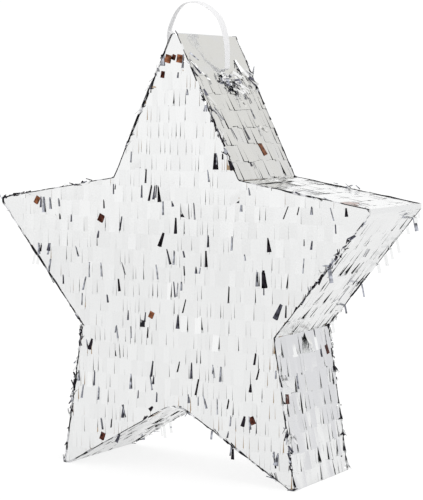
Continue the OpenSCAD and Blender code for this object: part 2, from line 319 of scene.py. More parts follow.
def new_material(name):
    """An empty material: its tree and its Principled node."""
    made = bpy.data.materials.new(name)
    made.use_nodes = True
    return made, made.node_tree, made.node_tree.nodes["Principled BSDF"]


def bump(tree, shader, height, strength, distance):
    """Puts a height into the shader's normal, distance in metres."""
    made = add(tree, "ShaderNodeBump", Height=height, Strength=strength, Distance=distance)
    tree.links.new(made.outputs["Normal"], shader.inputs["Normal"])


def rough_from(tree, shader, mask, least, most):
    """Roughness between two values by a mask."""
    made = add(tree, "ShaderNodeMapRange", Value=mask)
    made.inputs["To Min"].default_value = least
    made.inputs["To Max"].default_value = most
    tree.links.new(made.outputs["Result"], shader.inputs["Roughness"])


def foil_material(name, colour, least_rough, most_rough, depth, spread=0.05):
    """Metallised film: mirror-like, softly waved, with fine creases."""
    made, tree, shader = new_material(name)
    place_in = add(tree, "ShaderNodeTexCoord")
    crinkle = place(tree, "foil_crinkle", Vector=place_in.outputs["Object"])
    # Base colour: each tab's random tone, with painted reflections on bent tabs
    tone = place(tree, "tab_tone_and_painted_reflection", Foil=(*colour, 1.0), Spread=spread)
    tree.links.new(tone.outputs["Color"], shader.inputs["Base Color"])
    shader.inputs["Metallic"].default_value = 1.0
    rough_from(tree, shader, crinkle.outputs["Mask"], least_rough, most_rough)
    bump(tree, shader, crinkle.outputs["Height"], 0.5, depth)
    return made


def underlay_material(colour):
    """The foil behind the tabs, seen through their gaps: silver with patches in deep shade."""
    made, tree, shader = new_material("shadowed_foil")
    coords = add(tree, "ShaderNodeTexCoord")
    blot = add(tree, "ShaderNodeTexNoise", Vector=coords.outputs["Object"], Scale=90.0, Detail=2.0)
    split = tree.nodes.new("ShaderNodeValToRGB")
    split.color_ramp.elements[0].position = 0.54
    split.color_ramp.elements[0].color = (0.02, 0.02, 0.024, 1.0)
    split.color_ramp.elements[1].position = 0.63
    split.color_ramp.elements[1].color = (*colour, 1.0)
    tree.links.new(blot.outputs["Fac"], split.inputs["Fac"])
    tree.links.new(split.outputs["Color"], shader.inputs["Base Color"])
    shader.inputs["Metallic"].default_value = 1.0
    rough_from(tree, shader, blot.outputs["Fac"], 0.15, 0.3)
    return made


def edge_material():
    """Folded foil edge: silver broken by black patches of painted shade, for the creases that lie in shadow.
    """
    made, tree, shader = new_material("painted_shade_edge_foil")
    place_in = add(tree, "ShaderNodeTexCoord")
    crinkle = place(tree, "foil_crinkle", Vector=place_in.outputs["Object"], Wave_Scale=160.0,
                    Crease_Scale=700.0)
    blot = add(tree, "ShaderNodeTexNoise", Vector=place_in.outputs["Object"], Scale=110.0, Detail=3.0)
    # Painted shade: the near black stop stands for the shade in the edge's creases
    split = tree.nodes.new("ShaderNodeValToRGB")
    split.color_ramp.elements[0].position = 0.5
    split.color_ramp.elements[0].color = (0.012, 0.012, 0.014, 1.0)
    split.color_ramp.elements[1].position = 0.6
    split.color_ramp.elements[1].color = (0.7, 0.7, 0.72, 1.0)
    tree.links.new(blot.outputs["Fac"], split.inputs["Fac"])
    tree.links.new(split.outputs["Color"], shader.inputs["Base Color"])
    shader.inputs["Metallic"].default_value = 1.0
    rough_from(tree, shader, crinkle.outputs["Mask"], 0.2, 0.4)
    bump(tree, shader, crinkle.outputs["Height"], 0.6, 0.0006)
    return made


def paper_material(name, colour, rough, flute):
    """Kraft paper or card: brown fibre, and on card the faint lines of the flutes inside."""
    made, tree, shader = new_material(name)
    place_in = add(tree, "ShaderNodeTexCoord")
    fibre = place(tree, "paper_fibre", Vector=place_in.outputs["Object"])
    dark = tuple(c * 0.62 for c in colour)
    shade = add(tree, "ShaderNodeMix", data_type="RGBA")
    stretch = add(tree, "ShaderNodeMapRange", Value=fibre.outputs["Mask"])
    stretch.inputs["From Min"].default_value = 0.12
    stretch.inputs["From Max"].default_value = 0.42
    tree.links.new(stretch.outputs["Result"], shade.inputs["Factor"])
    shade.inputs[6].default_value = (*dark, 1.0)
    shade.inputs[7].default_value = (*colour, 1.0)
    tree.links.new(shade.outputs[2], shader.inputs["Base Color"])
    rough_from(tree, shader, fibre.outputs["Mask"], rough, min(rough + 0.15, 1.0))
    height = fibre.outputs["Height"]
    if flute:
        waves = add(tree, "ShaderNodeTexWave", Vector=place_in.outputs["Object"], Scale=45.0, Distortion=0.4)
        waves.bands_direction = "X"
        total = add(tree, "ShaderNodeMath", operation="ADD", _0=height, _1=waves.outputs["Fac"])
        height = total.outputs["Value"]
    bump(tree, shader, height, 0.35, 0.00012)
    return made


def ribbon_material(name, colour, on_uv):
    """Extruded plastic ribbon: satin white with fine drawn lines along its length. The loop's
    lines follow its UV map, and the plain ends' lines are level bands across their width."""
    made, tree, shader = new_material(name)
    if on_uv:
        place_in = add(tree, "ShaderNodeUVMap", uv_map="UVMap").outputs["UV"]
        line_scale, scuff_scale = 7.0, 9.0
    else:
        place_in = add(tree, "ShaderNodeTexCoord").outputs["Object"]
        line_scale, scuff_scale = 1000.0, 1300.0
    lines = add(tree, "ShaderNodeTexWave", Vector=place_in, Scale=line_scale, Distortion=0.6, Detail=2.0)
    lines.bands_direction = "X" if on_uv else "Y"
    scuff = add(tree, "ShaderNodeTexNoise", Vector=place_in, Scale=scuff_scale, Detail=4.0)
    shade = add(tree, "ShaderNodeMix", data_type="RGBA")
    tree.links.new(scuff.outputs["Fac"], shade.inputs["Factor"])
    shade.inputs[6].default_value = (*[c * 0.95 for c in colour], 1.0)
    shade.inputs[7].default_value = (*colour, 1.0)
    tree.links.new(shade.outputs[2], shader.inputs["Base Color"])
    shader.inputs["Subsurface Weight"].default_value = 0.15
    shader.inputs["Subsurface Radius"].default_value = (0.002, 0.002, 0.002)
    rough_from(tree, shader, scuff.outputs["Fac"], 0.3, 0.46)
    bump(tree, shader, lines.outputs["Fac"], 0.15, 0.00002)
    return made


def material(name):
    """A finished material by name."""
    return bpy.data.materials[name]


# ---------------------------------------------------------------- meshes

def write_mesh(name, verts, faces, body, mat, flat=None, values=None, uv=None):
    """A piece from arrays: verts in millimetres (n, 3), faces (m, 4). flat marks faces that are
    shaded flat, values are named numbers for each vertex or face, uv is (u, v) for each vertex."""
    mesh = bpy.data.meshes.new(name)
    mesh.from_pydata((verts * MM).tolist(), [], faces.tolist())
    smooth = np.ones(len(faces), bool) if flat is None else ~flat
    mesh.polygons.foreach_set("use_smooth", smooth)
    for label, data in (values or {}).items():
        domain = "FACE" if len(data) == len(faces) else "POINT"
        mesh.attributes.new(label, "FLOAT", domain).data.foreach_set("value", data.astype(np.float32))
    if uv is not None:
        layer = mesh.uv_layers.new(name="UVMap")
        layer.data.foreach_set("uv", uv[faces.ravel()].astype(np.float32).ravel())
    mesh.update()
    if flat is not None and not flat.all():
        crease(mesh, faces[flat])
    mesh.materials.append(mat)
    made = bpy.data.objects.new(name, mesh)
    bpy.context.scene.collection.objects.link(made)
    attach(made, body)
    return made


def crease(mesh, rim):
    """Marks the long edges of the rim's quads sharp, so a shell's rim doesn't round its faces."""
    count = len(mesh.vertices)
    ends = np.empty(len(mesh.edges) * 2, np.int32)
    mesh.edges.foreach_get("vertices", ends)
    ends = ends.reshape(-1, 2).astype(np.int64)
    keys = ends.min(1) * count + ends.max(1)
    around = np.concatenate([rim[:, :2], rim[:, 2:]]).astype(np.int64)
    sharp = np.isin(keys, around.min(1) * count + around.max(1))
    mesh.attributes.new("sharp_edge", "BOOLEAN", "EDGE").data.foreach_set("value", sharp)


def shell_faces(rows, cols):
    """Quads of a thin closed shell: a front grid of (rows + 1) by (cols + 1) vertices, the
    same grid behind it, and the rim between them. Also which of the quads are the rim."""
    j, i = np.meshgrid(np.arange(rows), np.arange(cols), indexing="ij")
    at = (j * (cols + 1) + i).ravel()
    front = np.stack([at, at + cols + 1, at + cols + 2, at + 1], 1)
    behind = (rows + 1) * (cols + 1)
    back = front[:, ::-1] + behind
    down = np.arange(rows + 1) * (cols + 1)
    across = np.arange(cols + 1)
    loop = np.concatenate([down[:-1], rows * (cols + 1) + across[:-1], (down + cols)[:0:-1], across[:0:-1]])
    after = np.roll(loop, -1)
    rim = np.stack([after, loop, loop + behind, after + behind], 1)
    faces = np.concatenate([front, back, rim])
    is_rim = np.arange(len(faces)) >= 2 * len(front)
    return faces, is_rim


CURVE_STEPS = 24


def tab_shapes(tabs, rows, cols, thick):
    """Many hanging foil tabs at once, as (verts, faces, rim mask, values).

    A tab's middle line leaves its root at the angle lift from the wall and turns by curl over
    its length, plus fold round the place fold_at: angle(s) = lift + curl s + fold S(s), with S
    a smooth step. The line is the running sum of (cos angle) down + (sin angle) out. The
    tab reaches half its width to each side along the across direction, which lean turns in
    the wall's plane and twist turns about the line as s grows; cup bows the middle outwards by
    cup (1 - x^2). start and end are the shares of the length where each column of the tab is
    cut. The shell is that surface moved half the thickness to each side."""
    s = np.arange(CURVE_STEPS + 1) / CURVE_STEPS
    step = np.clip((s[None] - tabs["fold_at"][:, None]) / 0.08, 0, 1)
    step = step * step * (3 - 2 * step)
    angle = tabs["lift"][:, None] + tabs["curl"][:, None] * s + tabs["fold"][:, None] * step
    length = tabs["length"][:, None] / CURVE_STEPS
    mid = (angle[:, 1:] + angle[:, :-1]) / 2
    zero = np.zeros((len(angle), 1))
    fall = np.concatenate([zero, np.cumsum(np.cos(mid) * length, 1)], 1)
    rise = np.concatenate([zero, np.cumsum(np.sin(mid) * length, 1)], 1)

    t = np.arange(rows + 1)[None, :, None] / rows
    share = tabs["start"][:, None, :] * (1 - t) + tabs["end"][:, None, :] * t      # (tab, row, column)
    place_s = share * CURVE_STEPS
    lower = np.minimum(place_s.astype(int), CURVE_STEPS - 1)
    part = place_s - lower
    pick = np.arange(len(angle))[:, None, None]

    def along(table):
        return table[pick, lower] * (1 - part) + table[pick, lower + 1] * part

    turn, drop, stand = along(angle), along(fall), along(rise)
    x = np.linspace(-1, 1, cols + 1)[None, None, :] * np.ones_like(share)
    half = (tabs["width"] / 2)[:, None, None] * (1 + tabs["taper"][:, None, None] * share)
    lean = tabs["lean"][:, None, None, None]
    down0, across0, out = (tabs[key][:, None, None] for key in ("down", "across", "out"))
    down = np.cos(lean) * down0 + np.sin(lean) * across0
    across = np.cos(lean) * across0 - np.sin(lean) * down0
    normal = np.cos(turn)[..., None] * out - np.sin(turn)[..., None] * down
    twist = (tabs["twist"][:, None, None] * share)[..., None]
    wide = np.cos(twist) * across + np.sin(twist) * normal
    bow = (tabs["cup"][:, None, None] * (1 - x * x))[..., None]
    face_normal = np.cos(twist) * normal - np.sin(twist) * across
    centre = tabs["root"][:, None, None] + drop[..., None] * down + stand[..., None] * out
    surface = centre + (x * half)[..., None] * wide + bow * face_normal

    count, grid = len(angle), (rows + 1) * (cols + 1)
    skin = face_normal * thick / 2
    verts = np.stack([surface + skin, surface - skin], 1).reshape(count * 2 * grid, 3)
    one, rim = shell_faces(rows, cols)
    faces = (one[None] + (np.arange(count) * 2 * grid)[:, None, None]).reshape(-1, 4)
    past = (share > tabs["fold_at"][:, None, None] - 0.01).reshape(count, 1, grid)
    past = np.repeat(past, 2, 1).reshape(-1)
    # Each tab's painted reflection, given to the faces past its fold
    reflection_tint = np.repeat(tabs["reflection_tint"], len(one))
    values = {
        "shade": np.repeat(tabs["shade"], 2 * grid),
        "bent": np.where(past[faces].all(1), reflection_tint, 0.0),
    }
    return verts, faces, np.tile(rim, count), values


class Wall:
    """A flat wall that fringe hangs on: a root point, the way down, the way across and out."""

    def __init__(self, origin, down, out, half_width, length):
        self.origin = np.array(origin, float)
        self.down = np.array(down, float) / np.linalg.norm(down)
        self.out = np.array(out, float) / np.linalg.norm(out)
        self.across = np.cross(self.out, self.down)
        self.half_width = half_width
        self.length = length


def lay_tabs(wall, u, v, width, length, rng, settings, tops=None, ends=None, cols=3, taper=0.0, lean=0.0):
    """Tabs on a wall, with roots u across and v down from its origin. tops and ends give how
    far down the wall the foil starts and stops at each u; a tab outside them is left out."""
    count = len(u)
    cut_x = u[:, None] + np.linspace(-0.5, 0.5, cols + 1)[None] * width[:, None]
    first = np.zeros_like(cut_x) if tops is None else tops(cut_x)
    last = np.full_like(cut_x, wall.length) if ends is None else ends(cut_x)
    start = np.clip((first - v[:, None]) / length[:, None], 0, 1)
    end = np.clip((last - v[:, None]) / length[:, None], 0, 1)
    keep = (end - start).mean(1) > settings.get("least", 0.12)
    bent = rng.random(count) < settings["bent_share"]
    loose = rng.random(count) < settings["loose_share"]
    lift = rng.uniform(*settings["lift"], count) + loose * rng.uniform(0.03, 0.1, count)
    tabs = {
        "root": wall.origin + u[:, None] * wall.across + v[:, None] * wall.down
                + (settings["stand"] + rng.uniform(0, settings["layers"], count))[:, None] * wall.out,
        "down": np.repeat(wall.down[None], count, 0),
        "across": np.repeat(wall.across[None], count, 0),
        "out": np.repeat(wall.out[None], count, 0),
        "width": width, "length": length,
        "start": start, "end": np.maximum(end, start + 0.001),
        "lift": lift,
        "curl": rng.normal(0, settings["curl"], count) + loose * rng.normal(0, 0.15, count),
        "fold_at": np.where(bent, 0.5, 2.0),
        "fold": np.where(bent, rng.uniform(0.2, 0.7, count), 0.0),
        "lean": lean + rng.normal(0, settings["lean"], count) + loose * rng.normal(0, 0.06, count),
        "twist": rng.normal(0, settings["twist"], count) + loose * rng.normal(0, 0.2, count),
        "cup": rng.normal(0, settings["cup"], count),
        "taper": taper + np.zeros(count),
        "shade": rng.random(count),
        # A bent tab gets a random painted reflection on its bent part
        "reflection_tint": np.where(bent, rng.uniform(0.02, 1.0, count), 0.0),
    }
    return {key: value[keep] for key, value in tabs.items()}


def cut_row(rng, low_u, high_u, width, length, look, ease=None):
    """The tabs of one row between two ends: cuts at uneven steps, most of them closed and some
    opening towards the tips, more of them where ease is over 1. Returns each tab's place,
    width, taper and lean."""
    span = high_u - low_u
    cells = np.clip(rng.lognormal(0, look["uneven"], int(span / width) + 1), 0.45, 2.2)
    cuts = low_u + np.concatenate([[0], np.cumsum(cells)]) / cells.sum() * span
    open_at = rng.random(len(cuts)) / (1 if ease is None else ease(cuts))
    gap = np.where(open_at < look["wide_gaps"], rng.uniform(0.45, 1.1, len(cuts)),
                   np.where(open_at < look["thin_gaps"], rng.uniform(0.15, 0.5, len(cuts)), -0.1))
    swing = rng.normal(0, look["swing"], len(cuts))
    left, right = cuts[:-1] - 0.04, cuts[1:] + 0.04
    left_end = cuts[:-1] + gap[:-1] / 2 + swing[:-1]
    right_end = cuts[1:] - gap[1:] / 2 + swing[1:]
    wide = right - left
    u = (left + right) / 2
    lean = ((left_end + right_end) / 2 - u) / length
    taper = np.maximum((right_end - left_end) / wide - 1, -0.8)
    return u, wide, taper, lean


def join_tabs(batches):
    """Several batches of tabs as one."""
    return {key: np.concatenate([b[key] for b in batches]) for key in batches[0]}


def part_of(tabs, mask):
    """The tabs that a mask picks."""
    return {key: value[mask] for key, value in tabs.items()}


FACE_LOOK = {"bent_share": 0.0, "loose_share": 0.02, "lift": (0.008, 0.02), "curl": 0.012, "lean": 0.003,
             "twist": 0.01, "cup": 0.02, "stand": 0.2, "layers": 0.08, "uneven": 0.38, "wide_gaps": 0.17,
             "thin_gaps": 0.55, "swing": 0.14}
SIDE_LOOK = dict(FACE_LOOK, loose_share=0.05, lift=(0.01, 0.03), curl=0.03, lean=0.01, twist=0.03, cup=0.05,
                 wide_gaps=0.2, thin_gaps=0.5, swing=0.3)
SHOULDER_LOOK = dict(SIDE_LOOK, loose_share=0.0, lift=(0.0, 0.012), curl=0.01, lean=0.02, twist=0.02,
                     wide_gaps=0.0, thin_gaps=0.1)
HANGING_LOOK = dict(SIDE_LOOK, loose_share=0.04, lift=(0.01, 0.04), curl=0.04, lean=0.03, twist=0.08,
                    cup=0.06, wide_gaps=0.02, thin_gaps=0.12, swing=0.5)
LEG_LOOK = dict(SIDE_LOOK, loose_share=0.04, lift=(0.01, 0.05), curl=0.06, lean=0.02, twist=0.1, cup=0.1,
                wide_gaps=0.0, thin_gaps=0.1, swing=0.5)
LOOKS = {"top": SIDE_LOOK, "shoulder": SHOULDER_LOOK, "arm": HANGING_LOOK, "leg_outer": LEG_LOOK,
         "leg_inner": HANGING_LOOK}
FLAT = {"bent_share": 0.0, "loose_share": 0.0, "lift": (0.0, 0.0), "curl": 0.0, "lean": 0.0, "twist": 0.0,
        "cup": 0.0, "stand": 0.08, "layers": 0.0, "least": 0.01}


def plain_patch(wall, mid, width, v, length, rng, tops, ends, cols):
    """One uncut patch of foil on a wall, clipped to the outline by its columns."""
    one = np.array([0.0])
    look = dict(FLAT, stand=0.34, least=0.001)
    return lay_tabs(wall, one + mid, one + v, one + width, one + length, rng, look, tops, ends, cols)


def face_rows(sign, rng, settings, look):
    """Rows of tabs over the whole star, on the front (sign -1) or the back (1). Returns the
    tabs, the bands of uncut foil under them, and the plain patches at the two side tips."""
    header, row, tab = settings.header / MM, settings.row_h / MM, settings.tab_w / MM
    wall = Wall((0, sign * CARD_Y, STAR_H), (0, 0, -1), (0, sign, 0), HALF_W, STAR_H)
    flip = wall.across[0]
    plain_x = HALF_W - settings.plain_tip / MM
    calm = np.clip(1.0 + 0.75 * noise_grid(rng, 40, 33, (8, 7)), 0.12, 2.2)
    tabs, bands, tips = [], [], []
    for k in range(int(math.ceil((STAR_H - header) / row))):
        v = header + k * row
        above_waist = STAR_H - v > WAIST_Z
        outline_top = top_of_star if above_waist else top_of_legs
        outline_end = foot_of_arms if above_waist else foot_of_legs

        def tops(u):
            return STAR_H - np.minimum(outline_top(u * flip), STAR_H * 1.5)

        def ends(u):
            return STAR_H - np.maximum(outline_end(u * flip), 0.6)

        edge = DOOR_X + DOOR_GAP
        def ease(u):
            calmer = np.where((u * flip < -SHOULDER_X) & (v < STAR_H - ARM_Z + 2 * row), 0.25, 1.0)
            return calmer * np.interp(u, np.linspace(-HALF_W, HALF_W, 33), calm[k])

        spans = [(-HALF_W, HALF_W)] if STAR_H - v > CROTCH_TOP else [(-HALF_W, 0.0), (0.0, HALF_W)]
        if sign > 0 and STAR_H - v > DOOR_LOW and STAR_H - v - row - 2 < DOOR_TOP:
            spans = [(-HALF_W, -edge), (-edge, edge), (edge, HALF_W)]
        for span in spans:
            u, width, taper, lean = cut_row(rng, *span, tab, row, look, ease)
            inside = np.abs(u) < plain_x + tab / 2
            u, width, taper, lean = u[inside], width[inside], taper[inside], lean[inside]
            count = len(u)
            length = np.full(count, row + 1.6) + rng.normal(0, 0.25, count)
            roots = np.full(count, v) + rng.normal(0, 0.12)
            tabs.append(lay_tabs(wall, u, roots, width, length, rng, look, tops, ends, 3, taper, lean))
            strip = np.linspace(span[0], span[1], int((span[1] - span[0]) / 24) + 2)
            mid, wide = (strip[1:] + strip[:-1]) / 2, np.diff(strip)
            bands.append(lay_tabs(wall, mid, np.full(len(mid), v - 0.2), wide, np.full(len(mid), row + 0.4),
                                  rng, FLAT, tops, ends, cols=8))
        if abs(STAR_H - v - ARM_Z) < row / 2:
            reach = settings.plain_tip / MM
            for side in (-1, 1):
                patch_mid = side * (HALF_W - reach / 2)
                tips.append(plain_patch(wall, patch_mid, reach, v - 22, 50, rng, tops, ends, 12))
    return join_tabs(tabs), join_tabs(bands), join_tabs(tips)


def header_sheet(sign, rng, settings):
    """The plain uncut foil over the star's top."""
    header = settings.header / MM
    wall = Wall((0, sign * CARD_Y, STAR_H), (0, 0, -1), (0, sign, 0), HALF_W, STAR_H)

    def tops(u):
        return STAR_H - top_of_star(u)

    reach = HALF_FLAT + (header + 3) * (SHOULDER_X - HALF_FLAT) / (STAR_H - SHOULDER_Z)
    return plain_patch(wall, 0.0, 2 * reach, 0.0, header + 2.0, rng, tops, None, 12)


# Where each region of fringe starts and stops, and the CAD node's name for it
CHEST_Z = (ARM_Z + WAIST_Z) / 2
REGIONS = [
    ("top", SHOULDER_Z, STAR_H, 0), ("shoulders", CHEST_Z, SHOULDER_Z, 0), ("chest", WAIST_Z, CHEST_Z, 0),
    ("waist", CROTCH_TOP, WAIST_Z, 0), ("leg_right", -1, CROTCH_TOP, 1), ("leg_left", -1, CROTCH_TOP, -1),
]


def region_mask(tabs, region):
    """Which tabs hang in a region, by the middle of their row and the side they are on."""
    _, bottom, top, side = region
    z = tabs["root"][:, 2] - 6
    inside = (z > bottom) & (z <= top)
    return inside if side == 0 else inside & (tabs["root"][:, 0] * side > 0)


def build_face(sign, label, seed):
    """All the fringe of the front or the back, one piece for each region."""
    settings = sizes()
    rng = np.random.default_rng(seed)
    tabs, bands, tips = face_rows(sign, rng, settings, FACE_LOOK)
    header = header_sheet(sign, rng, settings)
    for region in REGIONS:
        name = "%s_fringe_%s" % (label, region[0])
        some = part_of(tabs, region_mask(tabs, region))
        under = part_of(bands, region_mask(bands, region))
        if sign > 0:
            some, under = leave_door(some), leave_door(under)
        batches = [(some, 4, 3)]
        if region[0] == "top":
            batches.append((header, 3, 12))
        if region[0] == "shoulders":
            batches.append((tips, 4, 12))
        piece = write_tabs("foil_" + name, batches, "star", "silver_foil")
        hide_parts(name)
        write_tabs("underlay_" + name, [(under, 1, 8)], "star", "shadowed_foil")


def leave_door(tabs):
    """The back's tabs, cut off above the filler door's hinge and started again below it."""
    x, z, length = tabs["root"][:, 0], tabs["root"][:, 2], tabs["length"]
    door = np.abs(x) < DOOR_X + DOOR_GAP
    above = door & (z > DOOR_TOP)
    below = door & (z <= DOOR_TOP)
    stop = np.where(above, (z - DOOR_TOP) / length, 1.0)[:, None]
    begin = np.where(below, (z - DOOR_LOW + DOOR_GAP) / length, 0.0)[:, None]
    cut = dict(tabs, start=np.maximum(tabs["start"], begin), end=np.minimum(tabs["end"], stop))
    return part_of(cut, (cut["end"] - cut["start"]).mean(1) > 0.03)


def write_tabs(name, batches, body, mat):
    """One piece from batches of tabs, each with its number of rows and columns of faces."""
    verts, faces, rims, shades, bents, count = [], [], [], [], [], 0
    for tabs, rows, cols in batches:
        v, f, rim, values = tab_shapes(tabs, rows, cols, sizes().foil_t / MM)
        verts.append(v)
        faces.append(f + count)
        rims.append(rim)
        shades.append(values["shade"])
        bents.append(values["bent"])
        count += len(v)
    verts = np.concatenate(verts)
    verts[:, 2] = np.maximum(verts[:, 2], 0.15)
    values = {"shade": np.concatenate(shades), "bent": np.concatenate(bents)}
    return write_mesh(name, verts, np.concatenate(faces), body, material(mat), np.concatenate(rims),
                      values)


# ---------------------------------------------------------------- side walls

def side_walls():
    """Each side wall's name and plane: the origin is its higher end, halfway through the depth."""
    right = [("top", (HALF_FLAT, STAR_H), (SHOULDER_X, SHOULDER_Z)),
             ("shoulder", (SHOULDER_X, SHOULDER_Z), (HALF_W, ARM_Z + HALF_FLAT)),
             ("arm", (HALF_W, ARM_Z - HALF_FLAT), (WAIST_X, WAIST_Z)),
             ("leg_outer", (WAIST_X, WAIST_Z), (FOOT_OUT, 0)),
             ("leg_inner", (BEND_X, LEG_SLOPE * (FOOT_IN - BEND_X)), (FOOT_IN, 0))]
    outward = {"top": (1, 1), "shoulder": (1, 1), "arm": (1, -1), "leg_outer": (1, 1), "leg_inner": (-1, -1)}
    made = []
    for name, start, end in right:
        for side, word in ((1, "right"), (-1, "left")):
            dx, dz = (end[0] - start[0]) * side, end[1] - start[1]
            length = math.hypot(dx, dz)
            down = np.array([dx, 0, dz]) / length
            out = np.array([-down[2], 0, down[0]])
            if out[0] * side * outward[name][0] < 0:
                out = -out
            node = name + "_fringe_" + word
            if name.startswith("leg"):
                node = "leg_fringe_%s_%s" % (name[4:], word)
            wall = Wall((start[0] * side, 0, start[1]), down, out, HALF_D - 1.0, length)
            wall.origin -= wall.out * SHEET
            made.append((node, name, wall))
    return made


PLAIN = {"top": 33.0, "shoulder": 12.0, "arm": 5.0, "leg_outer": 0.0, "leg_inner": 5.0}


def build_side(node, kind, wall, seed):
    """The fringe of one side wall: plain foil first, then rows of tabs, over uncut bands."""
    settings = sizes()
    rng = np.random.default_rng(seed)
    look = LOOKS[kind]
    row, tab = settings.side_row / MM, settings.side_tab_w / MM
    tabs, bands = [], []
    for k in range(int(math.ceil((wall.length - PLAIN[kind]) / row))):
        v = PLAIN[kind] + k * row
        length = row + 2.2
        u, width, taper, lean = cut_row(rng, -wall.half_width, wall.half_width, tab, length, look)
        lengths = length + rng.normal(0, 0.6, len(u))
        roots = v + rng.normal(0, 0.25, len(u))
        tabs.append(lay_tabs(wall, u, roots, width, lengths, rng, look, None, None, 3, taper, lean))
        one = np.array([0.0])
        bands.append(lay_tabs(wall, one, one + v - 0.2, one + 2 * wall.half_width, one + row + 0.4, rng, FLAT,
                              cols=8))
    piece = write_tabs("foil_" + node, [(join_tabs(tabs), 4, 3)], "star", "silver_foil")
    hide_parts(node)
    backing = "shadowed_foil" if kind == "top" else "silver_foil"
    write_tabs("underlay_" + node, [(join_tabs(bands), 1, 8)], "star", backing)
    if PLAIN[kind]:
        build_plain_sheet("header_" + node, wall, PLAIN[kind], seed)


def noise_grid(rng, rows, cols, cells):
    """Smooth noise on a grid: random values on a coarse lattice, blended by a smooth step."""
    coarse = rng.normal(0, 1, (cells[0] + 2, cells[1] + 2))
    y = np.linspace(0, cells[0], rows)
    x = np.linspace(0, cells[1], cols)
    yi, xi = y.astype(int), x.astype(int)
    fy, fx = y - yi, x - xi
    fy, fx = fy * fy * (3 - 2 * fy), fx * fx * (3 - 2 * fx)
    a = coarse[np.ix_(yi, xi)] * (1 - fx) + coarse[np.ix_(yi, xi + 1)] * fx
    b = coarse[np.ix_(yi + 1, xi)] * (1 - fx) + coarse[np.ix_(yi + 1, xi + 1)] * fx
    return a * (1 - fy[:, None]) + b * fy[:, None]


def sheet_verts(wall, u, v, height, thick):
    """A thin shell over a wall: grids of u across, v down and height out from the wall."""
    surface = wall.origin + u[..., None] * wall.across + v[..., None] * wall.down
    surface = surface + height[..., None] * wall.out
    skin = wall.out * thick / 2
    return np.stack([surface + skin, surface - skin]).reshape(-1, 3)


def build_plain_sheet(name, wall, length, seed):
    """The uncut foil at the top of a side wall: a sheet with soft dents. Its height over the
    wall is a small stand plus smooth noise that fades out at the sheet's sides."""
    rng = np.random.default_rng(seed + 500)
    rows, cols = 18, 36
    u, v = np.meshgrid(np.linspace(-1, 1, cols + 1) * wall.half_width,
                       np.linspace(0.2, length + 1.5, rows + 1))
    dents = noise_grid(rng, rows + 1, cols + 1, (4, 8)) * 0.22
    dents = dents + noise_grid(rng, rows + 1, cols + 1, (9, 18)) * 0.1
    fade = 1 - np.abs(u / wall.half_width) ** 6
    height = 0.55 + dents * fade
    thick = sizes().foil_t / MM
    faces, rim = shell_faces(rows, cols)
    verts = sheet_verts(wall, u, v, np.maximum(height, 0.2), thick)
    verts[:, 2] = np.maximum(verts[:, 2], 0.15)
    values = {"shade": np.full(len(verts), 0.3), "bent": np.zeros(len(verts))}
    write_mesh(name, verts, faces, "star", material("silver_foil"), rim, values)


def build_bend():
    """The foil under the bend between the legs: an arc of the bend's radius, less the foil's
    depth, carried through the depth of the star with soft dents."""
    rng = np.random.default_rng(77)
    rows, cols = 16, 36
    turn = math.asin(BEND_X / BEND_R)
    a, y = np.meshgrid(np.linspace(-turn, turn, rows + 1), np.linspace(-1, 1, cols + 1) * (HALF_D - 1),
                       indexing="ij")
    radius = BEND_R - 0.1 + noise_grid(rng, rows + 1, cols + 1, (3, 9)) * 0.15
    thick = sizes().foil_t / MM
    ray = np.stack([np.sin(a), np.zeros_like(a), np.cos(a)], -1)
    middle = np.stack([np.zeros_like(a), y, np.full_like(a, BEND_MID)], -1)
    surface = middle + radius[..., None] * ray
    verts = np.stack([surface - ray * thick / 2, surface + ray * thick / 2]).reshape(-1, 3)
    faces, rim = shell_faces(rows, cols)
    values = {"shade": np.full(len(verts), 0.3), "bent": np.zeros(len(verts))}
    piece = write_mesh("foil_crotch_fringe", verts, faces[:, ::-1], "star", material("silver_foil"),
                       rim, values)
    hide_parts("crotch_fringe")


# ---------------------------------------------------------------- edges, tuft and loop

def resample(points, step):
    """Points evenly spaced by about step along a closed line of straight stretches."""
    closed = np.vstack([points, points[:1]])
    lengths = np.linalg.norm(np.diff(closed, axis=0), axis=1)
    total = np.concatenate([[0], np.cumsum(lengths)])
    s = np.linspace(0, total[-1], int(total[-1] / step), endpoint=False)
    return np.stack([np.interp(s, total, closed[:, k]) for k in range(closed.shape[1])], 1), s


